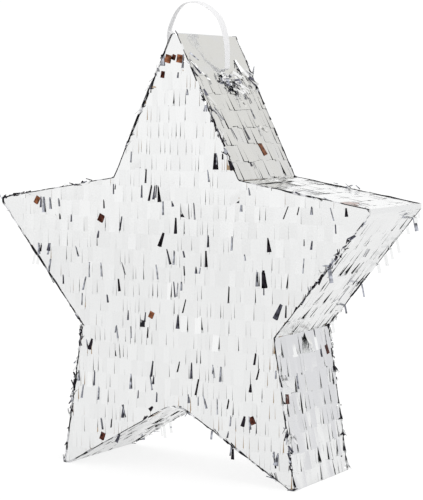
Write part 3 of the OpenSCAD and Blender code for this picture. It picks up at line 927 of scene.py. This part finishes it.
def build_edge(sign, name, seed):
    """The creased fold where a face's foil meets the side walls': a thin closed tube along the
    outline. Its radius is a small base plus noise along the edge, and it wanders a little."""
    rng = np.random.default_rng(seed)
    middle, _ = resample(outline_corners(), 1.6)
    count, sides = len(middle), 6
    noise = noise_grid(rng, count, 4, (count // 5, 1))
    broad = noise_grid(rng, count, 4, (count // 16, 1))
    width = 0.26 + 0.34 * np.clip(broad[:, 0] + 0.5 * noise[:, 1], 0, 1.6)
    width *= 1.0 if sign < 0 else 0.7
    ahead = np.roll(middle, -1, 0) - np.roll(middle, 1, 0)
    ahead /= np.linalg.norm(ahead, axis=1)[:, None]
    inward = np.stack([ahead[:, 1], -ahead[:, 0]], 1)
    centre = middle + inward * (0.25 + 0.2 * noise[:, 2])[:, None]
    a = np.arange(sides) / sides * 2 * np.pi
    in_plane = width[:, None] * np.cos(a)[None] * 1.3
    off_plane = width[:, None] * np.sin(a)[None] * 0.8
    x = centre[:, None, 0] + inward[:, None, 0] * in_plane
    z = np.maximum(centre[:, None, 1] + inward[:, None, 1] * in_plane, 0.15)
    y = sign * (HALF_D - 0.35) + off_plane * -sign + 0.15 * noise[:, None, 3] * -sign
    verts = np.stack([x, y, z], -1).reshape(-1, 3)
    i, j = np.meshgrid(np.arange(count), np.arange(sides), indexing="ij")
    at = lambda p, q: ((p % count) * sides + q % sides).ravel()
    faces = np.stack([at(i, j), at(i, j + 1), at(i + 1, j + 1), at(i + 1, j)], 1)
    if sign > 0:
        faces = faces[:, ::-1]
    flat = np.ones(len(faces), bool)
    # The edge's black patches are painted shade
    write_mesh(name, verts, faces, "star", material("painted_shade_edge_foil"), flat)


def clear_of_ribbon(beside, below):
    """How far below a slot a tab's root goes, so that it stays out of the wedge over the slot
    that the ribbon sweeps: a root in the wedge is mirrored to below it."""
    swept = (below < 4) & (np.abs(beside) < 10 - below)
    return np.where(swept, 8 - below, below)


def build_tuft(side):
    """Foil crumpled round a ribbon slot: small facets scattered round the slot, each turned its
    own way, and longer creased strips lying from it towards the back edge. All point down the
    wall, and stay out of the ribbon's way."""
    word = "right" if side > 0 else "left"
    wall = next(w for n, _, w in side_walls() if n == "top_fringe_" + word)
    rng = np.random.default_rng(31 + side)
    slot_v = (STAR_H - LOOP_Z) * wall.length / (STAR_H - SHOULDER_Z)
    back = 1 if wall.across[1] > 0 else -1
    slot_u = LOOP_Y * back

    def scatter(count, u, v, heading, length, width, rise, tones, tilt):
        towards = np.clip(heading[0] + rng.normal(0, heading[1], count), -1.4, 1.4)
        go = np.cos(towards)[:, None] * wall.down + np.sin(towards)[:, None] * wall.across * back
        roots = wall.origin + u[:, None] * wall.across + v[:, None] * wall.down + rise[:, None] * wall.out
        out = wall.out + rng.normal(0, tilt, (count, 3))
        # Each facet's or strip's painted reflection, drawn from its letters
        painted_reflections = rng.choice([PAINTED_REFLECTIONS[c] for c in tones], count)
        tips = roots + go * length[:, None]
        taper = rng.uniform(-0.7, 0.5, count)
        return single_tabs(roots, tips, width, taper, painted_reflections, out, rng.uniform(0, 0.4, count))

    count = 64
    angle, far = rng.uniform(0, 2 * np.pi, count), 4.2 + np.abs(rng.normal(0, 3.4, count))
    beside, below = far * np.cos(angle) * 1.15, far * np.sin(angle) * 0.8 - 1.5
    facets = scatter(count, slot_u + beside, slot_v + clear_of_ribbon(beside, below),
                     (0.0, 1.6), rng.uniform(2.0, 5.5, count), rng.uniform(1.2, 3.4, count),
                     0.9 + rng.uniform(0, 1.3, count), "VGGSSSWW", 0.45)
    count = 48
    run = rng.uniform(0, 1, count)
    beside, below = 2 + 36 * run + rng.normal(0, 2, count), 12 * run - 4 + rng.normal(0, 5, count)
    strips = scatter(count, slot_u + back * beside, slot_v + clear_of_ribbon(beside, below), (0.25, 0.3),
                     rng.uniform(4, 12, count),
                     rng.uniform(0.6, 2.4, count), 0.8 + rng.uniform(0, 0.5, count), "VGSSSWW", 0.2)
    count = 16
    ridge = scatter(count, -back * rng.uniform(34, 42, count), rng.uniform(16, 62, count), (0.15, 0.2),
                    rng.uniform(6, 14, count), rng.uniform(0.5, 1.8, count), 0.8 + rng.uniform(0, 0.3, count),
                    "VGSWW", 0.2)
    for tabs in (strips, ridge):
        reach = np.abs((tabs["root"] + tabs["down"] * tabs["length"][:, None]) @ wall.across)
        tabs["length"] = np.where(reach > HALF_D - 1, tabs["length"] * 0.4, tabs["length"])
    write_tabs("slot_tuft_" + word, [(facets, 2, 2), (strips, 3, 2), (ridge, 3, 2)], "star", "silver_foil")


# The loop's route in the plane across the star: [x, height above the slots] in millimetres
LOOP_ROUTE = [
    (17, 0), (17.5, 0.2), (18, 1), (18, 2), (18, 4), (18, 8), (18, 14), (17, 22), (15, 30), (12, 37),
    (7, 43), (0, 48), (-6, 50.5), (-12, 51.5), (-17, 51), (-22, 49), (-27, 44), (-31, 37), (-33.5, 30),
    (-34, 23), (-32.5, 16), (-29, 10), (-25, 5), (-22, 2.5), (-19, 1), (-18, 0.5), (-17, 0)
]
LOOP_STEPS = 5
LOOP_TURN = -0.25                # how far the ribbon turns about its own line, in radians


def smooth_path(points, steps):
    """A smooth curve through points: between each two, the cubic whose slopes at them are half
    the step between their neighbours."""
    p = np.vstack([points[:1], points, points[-1:]])
    a, b, c, d = p[:-3, None], p[1:-2, None], p[2:-1, None], p[3:, None]
    u = (np.arange(steps) / steps)[None, :, None]
    inner = 0.5 * (2 * b + (c - a) * u + (2 * a - 5 * b + 4 * c - d) * u ** 2
                   + (3 * b - a - 3 * c + d) * u ** 3)
    return np.vstack([inner.reshape(-1, points.shape[1]), points[-1:]])


def loop_middle():
    """The middle line of the loop, (n, 3)."""
    route = np.array(LOOP_ROUTE, float)
    route[:, 0] *= EXIT_X / route[0, 0]
    flat = smooth_path(route, LOOP_STEPS)
    return np.stack([flat[:, 0], np.full(len(flat), LOOP_Y), flat[:, 1] + LOOP_Z], 1)


def build_loop():
    """The ribbon loop: a flat section with round edges and a shallow trough, carried along the
    loop's route, turning a little about its own line, most on the right. The section's points
    are (w cos t, h sin t) pushed out to a rounded slab."""
    settings = sizes()
    middle = loop_middle()
    count, around = len(middle), 20
    ahead = np.gradient(middle, axis=0)
    ahead /= np.linalg.norm(ahead, axis=1)[:, None]
    s = np.concatenate([[0], np.cumsum(np.linalg.norm(np.diff(middle, axis=0), axis=1))])
    turn = (LOOP_TURN * np.sin(np.pi * s / s[-1]) * (1 - 0.6 * s / s[-1]))[:, None]
    plain_up = np.cross(ahead, np.array([0.0, 1.0, 0.0]))
    side = np.cos(turn) * np.array([0.0, 1.0, 0.0]) + np.sin(turn) * plain_up
    up = np.cross(ahead, side)
    t = np.arange(around) / around * 2 * np.pi
    across = np.sign(np.cos(t)) * np.abs(np.cos(t)) ** 0.45 * settings.ribbon_w / MM / 2
    off = np.sign(np.sin(t)) * np.abs(np.sin(t)) ** 0.8 * settings.ribbon_t / MM / 2
    trough = 0.12 * (1 - (across / (settings.ribbon_w / MM / 2)) ** 2)
    verts = middle[:, None] + across[None, :, None] * side[:, None]
    verts = verts + (off + trough)[None, :, None] * up[:, None]
    verts = np.concatenate([verts.reshape(-1, 3), middle[:1], middle[-1:]])
    i, j = np.meshgrid(np.arange(count - 1), np.arange(around), indexing="ij")
    at = lambda p, q: (p * around + q % around).ravel()
    faces = np.stack([at(i, j), at(i, j + 1), at(i + 1, j + 1), at(i + 1, j)], 1)
    q = np.arange(around)
    first, last = count * around, count * around + 1
    tri = lambda a, b, c: np.stack([a, b, c], 1)
    caps = np.concatenate([tri(np.full(around, first), (q + 1) % around, q),
                           tri(np.full(around, last), (count - 1) * around + q,
                               (count - 1) * around + (q + 1) % around)])
    uv = np.stack([np.tile(across / (settings.ribbon_w / MM) + 0.5, count), np.repeat(s / 7.0, around)], 1)
    uv = np.vstack([uv, [[0.5, 0], [0.5, s[-1] / 7.0]]])
    mesh_faces = faces.tolist() + caps.tolist()
    mesh = bpy.data.meshes.new("ribbon_loop")
    mesh.from_pydata((verts * MM).tolist(), [], mesh_faces)
    smooth = np.array([True] * len(faces) + [False] * len(caps))
    mesh.polygons.foreach_set("use_smooth", smooth)
    layer = mesh.uv_layers.new(name="UVMap")
    corners = np.concatenate([faces.ravel(), caps.ravel()])
    layer.data.foreach_set("uv", uv[corners].astype(np.float32).ravel())
    mesh.update()
    mesh.materials.append(material("white_plastic_ribbon"))
    made = bpy.data.objects.new("ribbon_loop", mesh)
    bpy.context.scene.collection.objects.link(made)
    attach(made, "loop")
    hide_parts("hanging_loop")


def build_door():
    """The filler door's fringe: rows in line with the back's, on the door alone."""
    settings = sizes()
    rng = np.random.default_rng(settings.seed + 40)
    header, row, tab = settings.header / MM, settings.row_h / MM, settings.tab_w / MM
    wall = Wall((0, CARD_Y, STAR_H), (0, 0, -1), (0, 1, 0), HALF_W, STAR_H)

    def tops(u):
        return np.full_like(u, STAR_H - DOOR_TOP + HINGE_BARE)

    def ends(u):
        return np.full_like(u, STAR_H - DOOR_LOW)

    tabs, bands = [], []
    for k in range(int(math.ceil((STAR_H - header) / row))):
        v = header + k * row
        if v + row < STAR_H - DOOR_TOP or v > STAR_H - DOOR_LOW:
            continue
        u, width, taper, lean = cut_row(rng, -DOOR_X, DOOR_X, tab, row, FACE_LOOK)
        tabs.append(lay_tabs(wall, u, np.full(len(u), v), width, np.full(len(u), row + 1.6), rng, FACE_LOOK,
                             tops, ends, 3, taper, lean))
        one = np.array([0.0])
        bands.append(lay_tabs(wall, one, one + v - 0.2, one + 2 * DOOR_X, one + row + 0.4, rng, FLAT, tops,
                              ends, cols=8))
    piece = write_tabs("foil_door_fringe", [(join_tabs(tabs), 4, 3)], "door", "silver_foil")
    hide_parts("door_fringe")
    write_tabs("underlay_door_fringe", [(join_tabs(bands), 1, 8)], "door", "shadowed_foil")


# ---------------------------------------------------------------- bent tabs and loose ends

# What a bent tab shows: the place of its painted reflection on the bent ramp, brown, dark, black, slate or
# grey, a near white painted highlight (W), or plain silver (S)
PAINTED_REFLECTIONS = {"B": 0.1, "D": 0.4, "K": 0.6, "V": 0.8, "G": 0.93, "W": 0.99, "S": 0.0}

# The tabs bent furthest, placed one by one on each wall: the row each hangs from, the first being
# 0, the place of its root across the wall, its width, its length, its lean in degrees, its painted reflection
FOLDED = {
    "front": [
        (0, -5, 5, 6, 15, "B"), (0, 5, 5, 6, 10, "B"), (0, 0, 3, 4, 25, "D"), (0, -10, 4, 8, 5, "G"),
        (1, -10, 3, 5, 10, "D"), (6, 35, 4, 12, 0, "K"), (6, 45, 3, 13, -20, "K"), (9, -125, 4, 6, 30, "B"),
        (9, -120, 3, 12, 0, "G"), (10, -65, 5, 6, 25, "D"), (11, -10, 3, 11, 20, "K"),
        (12, -115, 3, 6, 10, "V"),
        (13, 75, 4, 13, -5, "K"), (13, 70, 2, 12, 0, "G"), (16, -20, 4, 5, 25, "B"), (15, 90, 4, 12, 25, "V"),
        (18, -75, 3, 9, 20, "K"), (22, -20, 3, 4, 45, "K"), (22, 65, 4, 6, -25, "D"), (22, 60, 3, 8, 15, "K"),
        (24, -65, 4, 6, 20, "D"), (24, -50, 3, 7, 25, "V"), (24, 50, 3, 9, 0, "K"),
    ],
    "top_right": [(3, 20, 5, 10, -20, "W"), (4, 10, 5, 12, -10, "B")],
    "shoulder_right": [(5, -35, 14, 10, 0, "B")],
    "leg_outer_right": [
        (1, 35, 4, 7, -10, "D"), (3, -35, 4, 7, 10, "D"), (2, -35, 5, 9, 5, "W"), (5, -35, 5, 9, 15, "W"),
    ],
}

# Tabs bent at random: how many on each wall, and the painted reflections that they are drawn from
SCATTERED = {
    "front": (115, "KKVVVGGG"), "back": (115, "KKVVVGGG"), "top": (9, "KVVGG"), "shoulder": (5, "VGGSS"),
    "arm": (8, "VVGGS"), "leg_outer": (5, "VGGSS"), "leg_inner": (5, "VGGSS"),
}

HANGING = 44                     # loose ends hanging at random along the two outlines
BIT_STAND = 0.58                 # how far bent tabs stand off the wall


def single_tabs(roots, tips, width, taper, painted_reflections, out, lift):
    """Tabs given one by one, each from its root to its tip, facing along out."""
    count = len(roots)
    reach = tips - roots
    length = np.linalg.norm(reach, axis=1)
    down = reach / length[:, None]
    out = out - (out * down).sum(1)[:, None] * down
    out /= np.linalg.norm(out, axis=1)[:, None]
    zero = np.zeros(count)
    return {
        "root": roots, "down": down, "across": np.cross(out, down), "out": out, "width": width,
        "length": length, "start": np.zeros((count, 3)), "end": np.ones((count, 3)), "lift": lift,
        "curl": zero + 0.05, "fold_at": zero - 1, "fold": zero, "lean": zero, "twist": zero + 0.06,
        # Each tab's painted reflection on the bent ramp
        "cup": zero + 0.05, "taper": taper, "shade": zero + 0.5, "reflection_tint": painted_reflections,
    }


def covered(x, z, margin):
    """Whether places on a face are inside the outline, by at least margin up or down."""
    under_top = z < top_of_star(x) - margin
    over_legs = z > foot_of_legs(x) + margin
    beside_waist = (z > foot_of_arms(x) + margin) | (z < top_of_legs(x) - margin)
    return under_top & over_legs & beside_waist


def bent_tabs(wall, u, v, width, length, lean, painted_reflections, taper):
    """Tabs bent on a wall: each from its root u across and v down, leaning from straight down."""
    roots = wall.origin + BIT_STAND * wall.out + u[:, None] * wall.across + v[:, None] * wall.down
    go = np.cos(lean)[:, None] * wall.down - np.sin(lean)[:, None] * wall.across
    out = np.repeat(wall.out[None], len(u), 0)
    # Tabs with the near white painted highlight stand further off the wall
    lift = np.where(painted_reflections > 0.98, 0.3, 0.02)
    return single_tabs(roots, roots + go * length[:, None], width, taper, painted_reflections, out, lift)


def folded_tabs(name, wall, plain_v, row):
    """The tabs of a wall that are placed one by one: the dark ones widen to their tips."""
    rows = FOLDED[name]
    table = np.array([entry[:5] for entry in rows], float)
    painted_reflections = np.array([PAINTED_REFLECTIONS[entry[5]] for entry in rows])
    v = plain_v + row * table[:, 0]
    wedge = np.where(painted_reflections < 0.5, 0.0, 0.8)
    return bent_tabs(wall, table[:, 1], v, table[:, 2] / (1 + wedge), table[:, 3], np.radians(table[:, 4]),
                     painted_reflections, wedge)


def scattered_tabs(wall, kind, plain_v, row, rng, allowed):
    """Tabs bent at random on a wall: each hangs from a row's root line, and most are slivers
    that widen to their tips. Places are drawn evenly, and allowed gives each one's chance."""
    count, tones = SCATTERED[kind]
    many = 12 * count
    u = rng.uniform(-1, 1, many) * wall.half_width
    v = plain_v + row * rng.integers(0, int((wall.length - plain_v) / row), many)
    v = v + rng.uniform(-0.3, 1.2, many)
    length = row * rng.uniform(0.35, 1.05, many)
    pick = np.flatnonzero(rng.random(many) < allowed(u, v, length))[:count]
    u, v, length = u[pick], v[pick], length[pick]
    tip = np.clip(rng.lognormal(0.0, 0.55, len(pick)), 0.5, 4.0)
    root = np.minimum(tip, rng.uniform(0.5, 1.2, len(pick)))
    # Each tab's painted reflection, drawn from the wall's letters
    painted_reflections = rng.choice([PAINTED_REFLECTIONS[c] for c in tones], len(pick))
    return bent_tabs(wall, u, v, root, length, rng.normal(0, 0.14, len(pick)), painted_reflections, tip / root - 1)


def build_bent_face(sign, name, seed):
    """The bent tabs of the front or back: more near the outline, and none on the filler door."""
    settings = sizes()
    header, row = settings.header / MM, settings.row_h / MM
    wall = Wall((0, sign * CARD_Y, STAR_H), (0, 0, -1), (0, sign, 0), HALF_W, STAR_H)
    flip = wall.across[0]

    def allowed(u, v, length):
        x, root, tip = u * flip, STAR_H - v, STAR_H - v - length
        inside = covered(x, root, 2.0) & covered(x, tip, 2.0)
        near = ~(covered(x, root, 18.0) & covered(x, tip, 18.0))
        on_door = (np.abs(x) < DOOR_X + 4) & (root > DOOR_LOW - 2) & (tip < DOOR_TOP + 2)
        return inside * np.where(near, 1.0, 0.4) * (1.0 if sign < 0 else ~on_door)

    tabs = scattered_tabs(wall, name, header, row, np.random.default_rng(seed), allowed)
    if name in FOLDED:
        tabs = join_tabs([tabs, folded_tabs(name, wall, header, row)])
    write_tabs("bent_tabs_" + name, [(tabs, 3, 2)], "star", "silver_foil")


def build_bent_sides(seed):
    """The bent tabs of each side wall, clear of its edges and of the ribbon's slot."""
    row = sizes().side_row / MM
    for k, (node, kind, wall) in enumerate(side_walls()):
        slot_u = LOOP_Y * wall.across[1]

        def allowed(u, v, length):
            inside = (np.abs(u) < wall.half_width - 3) & (v + length < wall.length - 1)
            at_slot = (np.abs(u - slot_u) < 9) & (v < PLAIN["top"] + row)
            return inside & ~(at_slot & (kind == "top"))

        tabs = scattered_tabs(wall, kind, PLAIN[kind], row, np.random.default_rng(seed + k), allowed)
        name = node.replace("_fringe", "")
        if name in FOLDED:
            tabs = join_tabs([tabs, folded_tabs(name, wall, PLAIN[kind], row)])
        write_tabs("bent_tabs_" + name, [(tabs, 3, 2)], "star", "silver_foil")


def build_loose_ends(seed):
    """Loose ends of foil, hanging from random places on the undersides and ends of the arms and
    legs, at the front and back outlines."""
    rng = np.random.default_rng(seed)
    middle, _ = resample(outline_corners(), 1.0)
    ahead = np.roll(middle, -1, 0) - np.roll(middle, 1, 0)
    outward = np.stack([-ahead[:, 1], ahead[:, 0]], 1) / np.linalg.norm(ahead, axis=1)[:, None]
    chance = np.clip(0.25 - outward[:, 1], 0.04, 1) * (middle[:, 1] > 16)
    pick = rng.choice(len(middle), HANGING, p=chance / chance.sum())
    side = rng.choice([1, 1, -1], HANGING)
    length = rng.uniform(4, 12, HANGING)
    roots = np.stack([middle[pick, 0], side * (HALF_D - 0.4), middle[pick, 1]], 1)
    reach = np.stack([outward[pick, 0] * 0.25 * length, side * rng.uniform(0, 0.3, HANGING), -length], 1)
    width = rng.uniform(1.0, 3.2, HANGING)
    # Most loose ends stay plain silver, a few get the grey painted reflection
    painted_reflections = rng.choice([PAINTED_REFLECTIONS[c] for c in "SSSSSSGG"], HANGING)
    tips = roots + reach
    tips[:, 2] = np.maximum(tips[:, 2], 0.6)
    out = np.repeat(np.array([[0.45, -0.8, 0.4]]), len(roots), 0)
    zero = np.zeros(len(roots))
    tabs = single_tabs(roots, tips, width, zero, painted_reflections, out, zero + 0.1)
    write_tabs("loose_ends", [(tabs, 4, 2)], "star", "silver_foil")


def build_flakes(sign, name, seed, count, tones):
    """Crumpled flakes of foil along a face's outline: small tabs near the edge, each along the
    edge or a little across it, more of them where a slow wave along the edge is high."""
    rng = np.random.default_rng(seed)
    middle, _ = resample(outline_corners(), 1.0)
    total = len(middle)
    wave = np.clip(0.5 + noise_grid(rng, total, 2, (total // 30, 1))[:, 0], 0.05, 2) ** 2
    pick = rng.choice(total, count, p=wave / wave.sum())
    ahead = middle[(pick + 1) % total] - middle[pick - 1]
    ahead /= np.linalg.norm(ahead, axis=1)[:, None]
    ahead *= rng.choice([-1, 1], count)[:, None]
    inward = np.stack([ahead[:, 1], -ahead[:, 0]], 1)
    turn = rng.normal(0, 0.35, count)
    go = np.cos(turn)[:, None] * ahead + np.sin(turn)[:, None] * inward
    length = rng.uniform(1.5, 6.5, count)
    roots = np.stack([middle[pick, 0], np.full(count, sign * (HALF_D - 0.1)), middle[pick, 1]], 1)
    roots[:, 0] += rng.normal(0, 0.35, count)
    roots[:, 2] = np.maximum(roots[:, 2] + rng.normal(0, 0.35, count), 0.4)
    tips = roots + np.stack([go[:, 0] * length, sign * rng.uniform(0, 0.5, count), go[:, 1] * length], 1)
    tips[:, 2] = np.maximum(tips[:, 2], 0.4)
    # Each flake's painted reflection, drawn from the letters given
    painted_reflections = rng.choice([PAINTED_REFLECTIONS[c] for c in tones], count)
    out = np.stack([rng.normal(0, 0.5, count), np.full(count, sign * 1.0), rng.normal(0, 0.5, count)], 1)
    width = rng.uniform(0.5, 1.5, count)
    taper = rng.uniform(-0.6, 0.4, count)
    tabs = single_tabs(roots, tips, width, taper, painted_reflections, out, rng.uniform(0, 0.2, count))
    write_tabs(name, [(tabs, 2, 2)], "star", "silver_foil")


# ---------------------------------------------------------------- stage

CAMERA_AT = Vector((0.6852, -1.1424, 0.2782))
CAMERA_TO = Vector((0.0320, -0.0440, 0.1720))
LENS = 125.8
SENSOR = 36.0


def build_camera():
    """The camera, to the right of the front and a little above."""
    data = bpy.data.cameras.new("camera")
    data.lens = LENS
    data.sensor_width = SENSOR
    data.clip_end = 20
    made = bpy.data.objects.new("camera", data)
    bpy.context.scene.collection.objects.link(made)
    made.location = CAMERA_AT
    made.rotation_euler = (CAMERA_TO - CAMERA_AT).to_track_quat("-Z", "Y").to_euler()
    bpy.context.scene.camera = made


def studio_patch(tree, ray, towards, cos_near, cos_far):
    """A round patch of the studio: 1 within cos_near of a direction, fading to 0 at cos_far."""
    unit = Vector(towards).normalized()
    lit = add(tree, "ShaderNodeVectorMath", operation="DOT_PRODUCT", _0=ray, _1=tuple(unit))
    made = add(tree, "ShaderNodeMapRange", Value=lit.outputs["Value"], interpolation_type="SMOOTHSTEP")
    made.inputs["From Min"].default_value = cos_far
    made.inputs["From Max"].default_value = cos_near
    return made.outputs["Result"]


def tint_towards(tree, colour, ray, towards, inner, outer, reflection_tint):
    """Mixes a tint into the tent round one direction: full inside the angle inner, none
    outside the angle outer, in degrees."""
    mask = studio_patch(tree, ray, towards, math.cos(math.radians(inner)), math.cos(math.radians(outer)))
    made = add(tree, "ShaderNodeMix", data_type="RGBA")
    tree.links.new(mask, made.inputs["Factor"])
    tree.links.new(colour, made.inputs[6])
    made.inputs[7].default_value = (*reflection_tint, 1)
    return made.outputs[2]


def build_studio():
    """A white light tent: even white all round, greyer behind on the right, and a small dark
    gap high in front. Seen straight on, it is plain white."""
    world = bpy.data.worlds.new("light_tent")
    bpy.context.scene.world = world
    world.use_nodes = True
    tree = world.node_tree
    background = tree.nodes["Background"]
    coords = add(tree, "ShaderNodeTexCoord")
    ray = coords.outputs["Generated"]
    white = add(tree, "ShaderNodeRGB")
    white.outputs[0].default_value = (1.0, 1.0, 1.0, 1)
    colour = tint_towards(tree, white.outputs[0], ray, (0.38, 0.85, 0.35), 14, 34, (0.77, 0.762, 0.73))
    colour = tint_towards(tree, colour, ray, (0.51, 0.85, 0.02), 12, 28, (0.78, 0.78, 0.8))
    colour = tint_towards(tree, colour, ray, (-0.5, -0.35, 0.8), 15, 19, (0.05, 0.045, 0.045))
    seen = add(tree, "ShaderNodeLightPath")
    plain = add(tree, "ShaderNodeMix", data_type="RGBA")
    tree.links.new(seen.outputs["Is Camera Ray"], plain.inputs["Factor"])
    tree.links.new(colour, plain.inputs[6])
    plain.inputs[7].default_value = (1, 1, 1, 1)
    tree.links.new(plain.outputs[2], background.inputs["Color"])
    background.inputs["Strength"].default_value = 1.04
    view = bpy.context.scene.view_settings
    view.view_transform = "Standard"
    view.look = "None"


def build_floor():
    """A wide pale floor, flush with the feet, with a faint paper grain."""
    half = 4000.0
    verts = np.array([(-half, -half, 0), (half, -half, 0), (half, half, 0), (-half, half, 0)])
    mesh = bpy.data.meshes.new("floor")
    mesh.from_pydata((verts * MM).tolist(), [], [(0, 1, 2, 3)])
    made, tree, shader = new_material("pale_floor")
    coords = add(tree, "ShaderNodeTexCoord")
    grain = add(tree, "ShaderNodeTexNoise", Vector=coords.outputs["Object"], Scale=300.0, Detail=2.0)
    rough_from(tree, shader, grain.outputs["Fac"], 0.8, 0.95)
    shader.inputs["Base Color"].default_value = (*sizes().floor, 1)
    shader.inputs["Specular IOR Level"].default_value = 0.1
    seen = add(tree, "ShaderNodeLightPath")
    glow = add(tree, "ShaderNodeMath", operation="MULTIPLY_ADD", _0=seen.outputs["Is Camera Ray"],
               _1=0.12, _2=0.62)
    shader.inputs["Emission Color"].default_value = (1, 1, 1, 1)
    tree.links.new(glow.outputs["Value"], shader.inputs["Emission Strength"])
    mesh.materials.append(made)
    floor = bpy.data.objects.new("floor", mesh)
    bpy.context.scene.collection.objects.link(floor)


def build_lights():
    """Two large soft boxes: one in front on the right, one over the top."""
    for name, at, size, power in (("front_box", (1.6, -1.2, 1.8), 1.2, 6.0),
                                  ("top_box", (0.3, 0.1, 2.2), 1.8, 5.0)):
        data = bpy.data.lights.new(name, "AREA")
        data.shape = "SQUARE"
        data.size = size
        data.energy = power
        made = bpy.data.objects.new(name, data)
        bpy.context.scene.collection.objects.link(made)
        made.location = at
        made.rotation_euler = (Vector((0, 0, 0.15)) - Vector(at)).to_track_quat("-Z", "Y").to_euler()


# ---------------------------------------------------------------- materials

def build_materials():
    """Every finish: foil in its states, card, tape and ribbon, and each CAD node's own."""
    settings = sizes()
    make_crinkle_group()
    make_paper_group()
    make_tab_group()
    foil_material("silver_foil", tuple(settings.foil), 0.1, 0.16, 0.00004)
    underlay_material(tuple(settings.foil))
    edge_material()
    paper_material("kraft_card", tuple(settings.card), 0.8, True)
    paper_material("gummed_tape", tuple(settings.tape), 0.45, False)
    ribbon_material("white_plastic_ribbon", tuple(settings.ribbon), True)
    ribbon_material("plain_ribbon_ends", tuple(settings.ribbon), False)


def dress_cad():
    """Gives each CAD node that stays in sight its material."""
    for name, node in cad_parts.items():
        if "wrap" in name or "fringe" in name:
            finish = "silver_foil"
        elif "tape" in name or "leaf" in name:
            finish = "gummed_tape"
        elif "loop" in name:
            finish = "plain_ribbon_ends"
        else:
            finish = "kraft_card"
        node.data.materials.clear()
        node.data.materials.append(material(finish))


# ---------------------------------------------------------------- operators

class PINATA_OT_camera(bpy.types.Operator):
    """Makes the camera"""
    bl_idname = "pinata.camera"
    bl_label = "Camera"

    def execute(self, context):
        build_camera()
        return {"FINISHED"}


class PINATA_OT_finishes(bpy.types.Operator):
    """Makes the materials and dresses the CAD parts"""
    bl_idname = "pinata.finishes"
    bl_label = "Finishes"

    def execute(self, context):
        build_materials()
        dress_cad()
        return {"FINISHED"}


class PINATA_OT_loop(bpy.types.Operator):
    """Makes the ribbon hanging loop"""
    bl_idname = "pinata.loop"
    bl_label = "Hanging loop"

    def execute(self, context):
        build_loop()
        return {"FINISHED"}


class PINATA_OT_front(bpy.types.Operator):
    """Makes the front's fringe"""
    bl_idname = "pinata.front"
    bl_label = "Front fringe"

    def execute(self, context):
        build_face(-1, "front", sizes().seed)
        return {"FINISHED"}


class PINATA_OT_back(bpy.types.Operator):
    """Makes the back's fringe, and the filler door's"""
    bl_idname = "pinata.back"
    bl_label = "Back fringe"

    def execute(self, context):
        build_face(1, "back", sizes().seed + 1)
        build_door()
        return {"FINISHED"}


class PINATA_OT_sides(bpy.types.Operator):
    """Makes the side walls' fringe"""
    bl_idname = "pinata.sides"
    bl_label = "Side fringe"

    def execute(self, context):
        for k, (node, kind, wall) in enumerate(side_walls()):
            build_side(node, kind, wall, sizes().seed + 10 + k)
        build_bend()
        return {"FINISHED"}


class PINATA_OT_edges(bpy.types.Operator):
    """Makes the creased foil edges and the tufts at the slots"""
    bl_idname = "pinata.edges"
    bl_label = "Edges and tufts"

    def execute(self, context):
        build_edge(-1, "front_edge", 61)
        build_edge(1, "back_edge", 62)
        build_flakes(-1, "front_edge_flakes", 63, 320, "KKVGSS")
        build_flakes(1, "back_edge_flakes", 64, 240, "SSSSSGGW")
        build_bent_face(-1, "front", 65)
        build_bent_face(1, "back", 66)
        build_bent_sides(70)
        build_loose_ends(90)
        build_tuft(1)
        build_tuft(-1)
        return {"FINISHED"}


class PINATA_OT_stage(bpy.types.Operator):
    """Makes the floor, the light tent and the soft boxes"""
    bl_idname = "pinata.stage"
    bl_label = "Stage"

    def execute(self, context):
        build_studio()
        build_floor()
        build_lights()
        return {"FINISHED"}


STEPS = (PINATA_OT_camera, PINATA_OT_finishes, PINATA_OT_loop, PINATA_OT_front, PINATA_OT_back,
         PINATA_OT_sides, PINATA_OT_edges, PINATA_OT_stage)


class PINATA_PT_panel(bpy.types.Panel):
    """Settings and steps of the star pinata"""
    bl_idname = "PINATA_PT_panel"
    bl_label = "Star pinata"
    bl_space_type = "VIEW_3D"
    bl_region_type = "UI"
    bl_category = "Pinata"

    def draw(self, context):
        for name in PinataSizes.__annotations__:
            self.layout.prop(context.scene.pinata, name)
        for step in STEPS:
            self.layout.operator(step.bl_idname)


def register():
    """Registers the settings, the steps and the panel."""
    for kind in (PinataSizes, *STEPS, PINATA_PT_panel):
        bpy.utils.register_class(kind)
    bpy.types.Scene.pinata = PointerProperty(type=PinataSizes)


def unregister():
    """Takes the settings, the steps and the panel away again."""
    del bpy.types.Scene.pinata
    for kind in reversed((PinataSizes, *STEPS, PINATA_PT_panel)):
        bpy.utils.unregister_class(kind)


def plain(box):
    """A box's two corners as lists of numbers."""
    return [[round(float(x), 6) for x in corner] for corner in box]


def main():
    """Builds the whole scene."""
    register()
    for step in STEPS:
        getattr(bpy.ops.pinata, step.bl_idname.split(".")[1])()


if __name__ == "__main__":
    main()
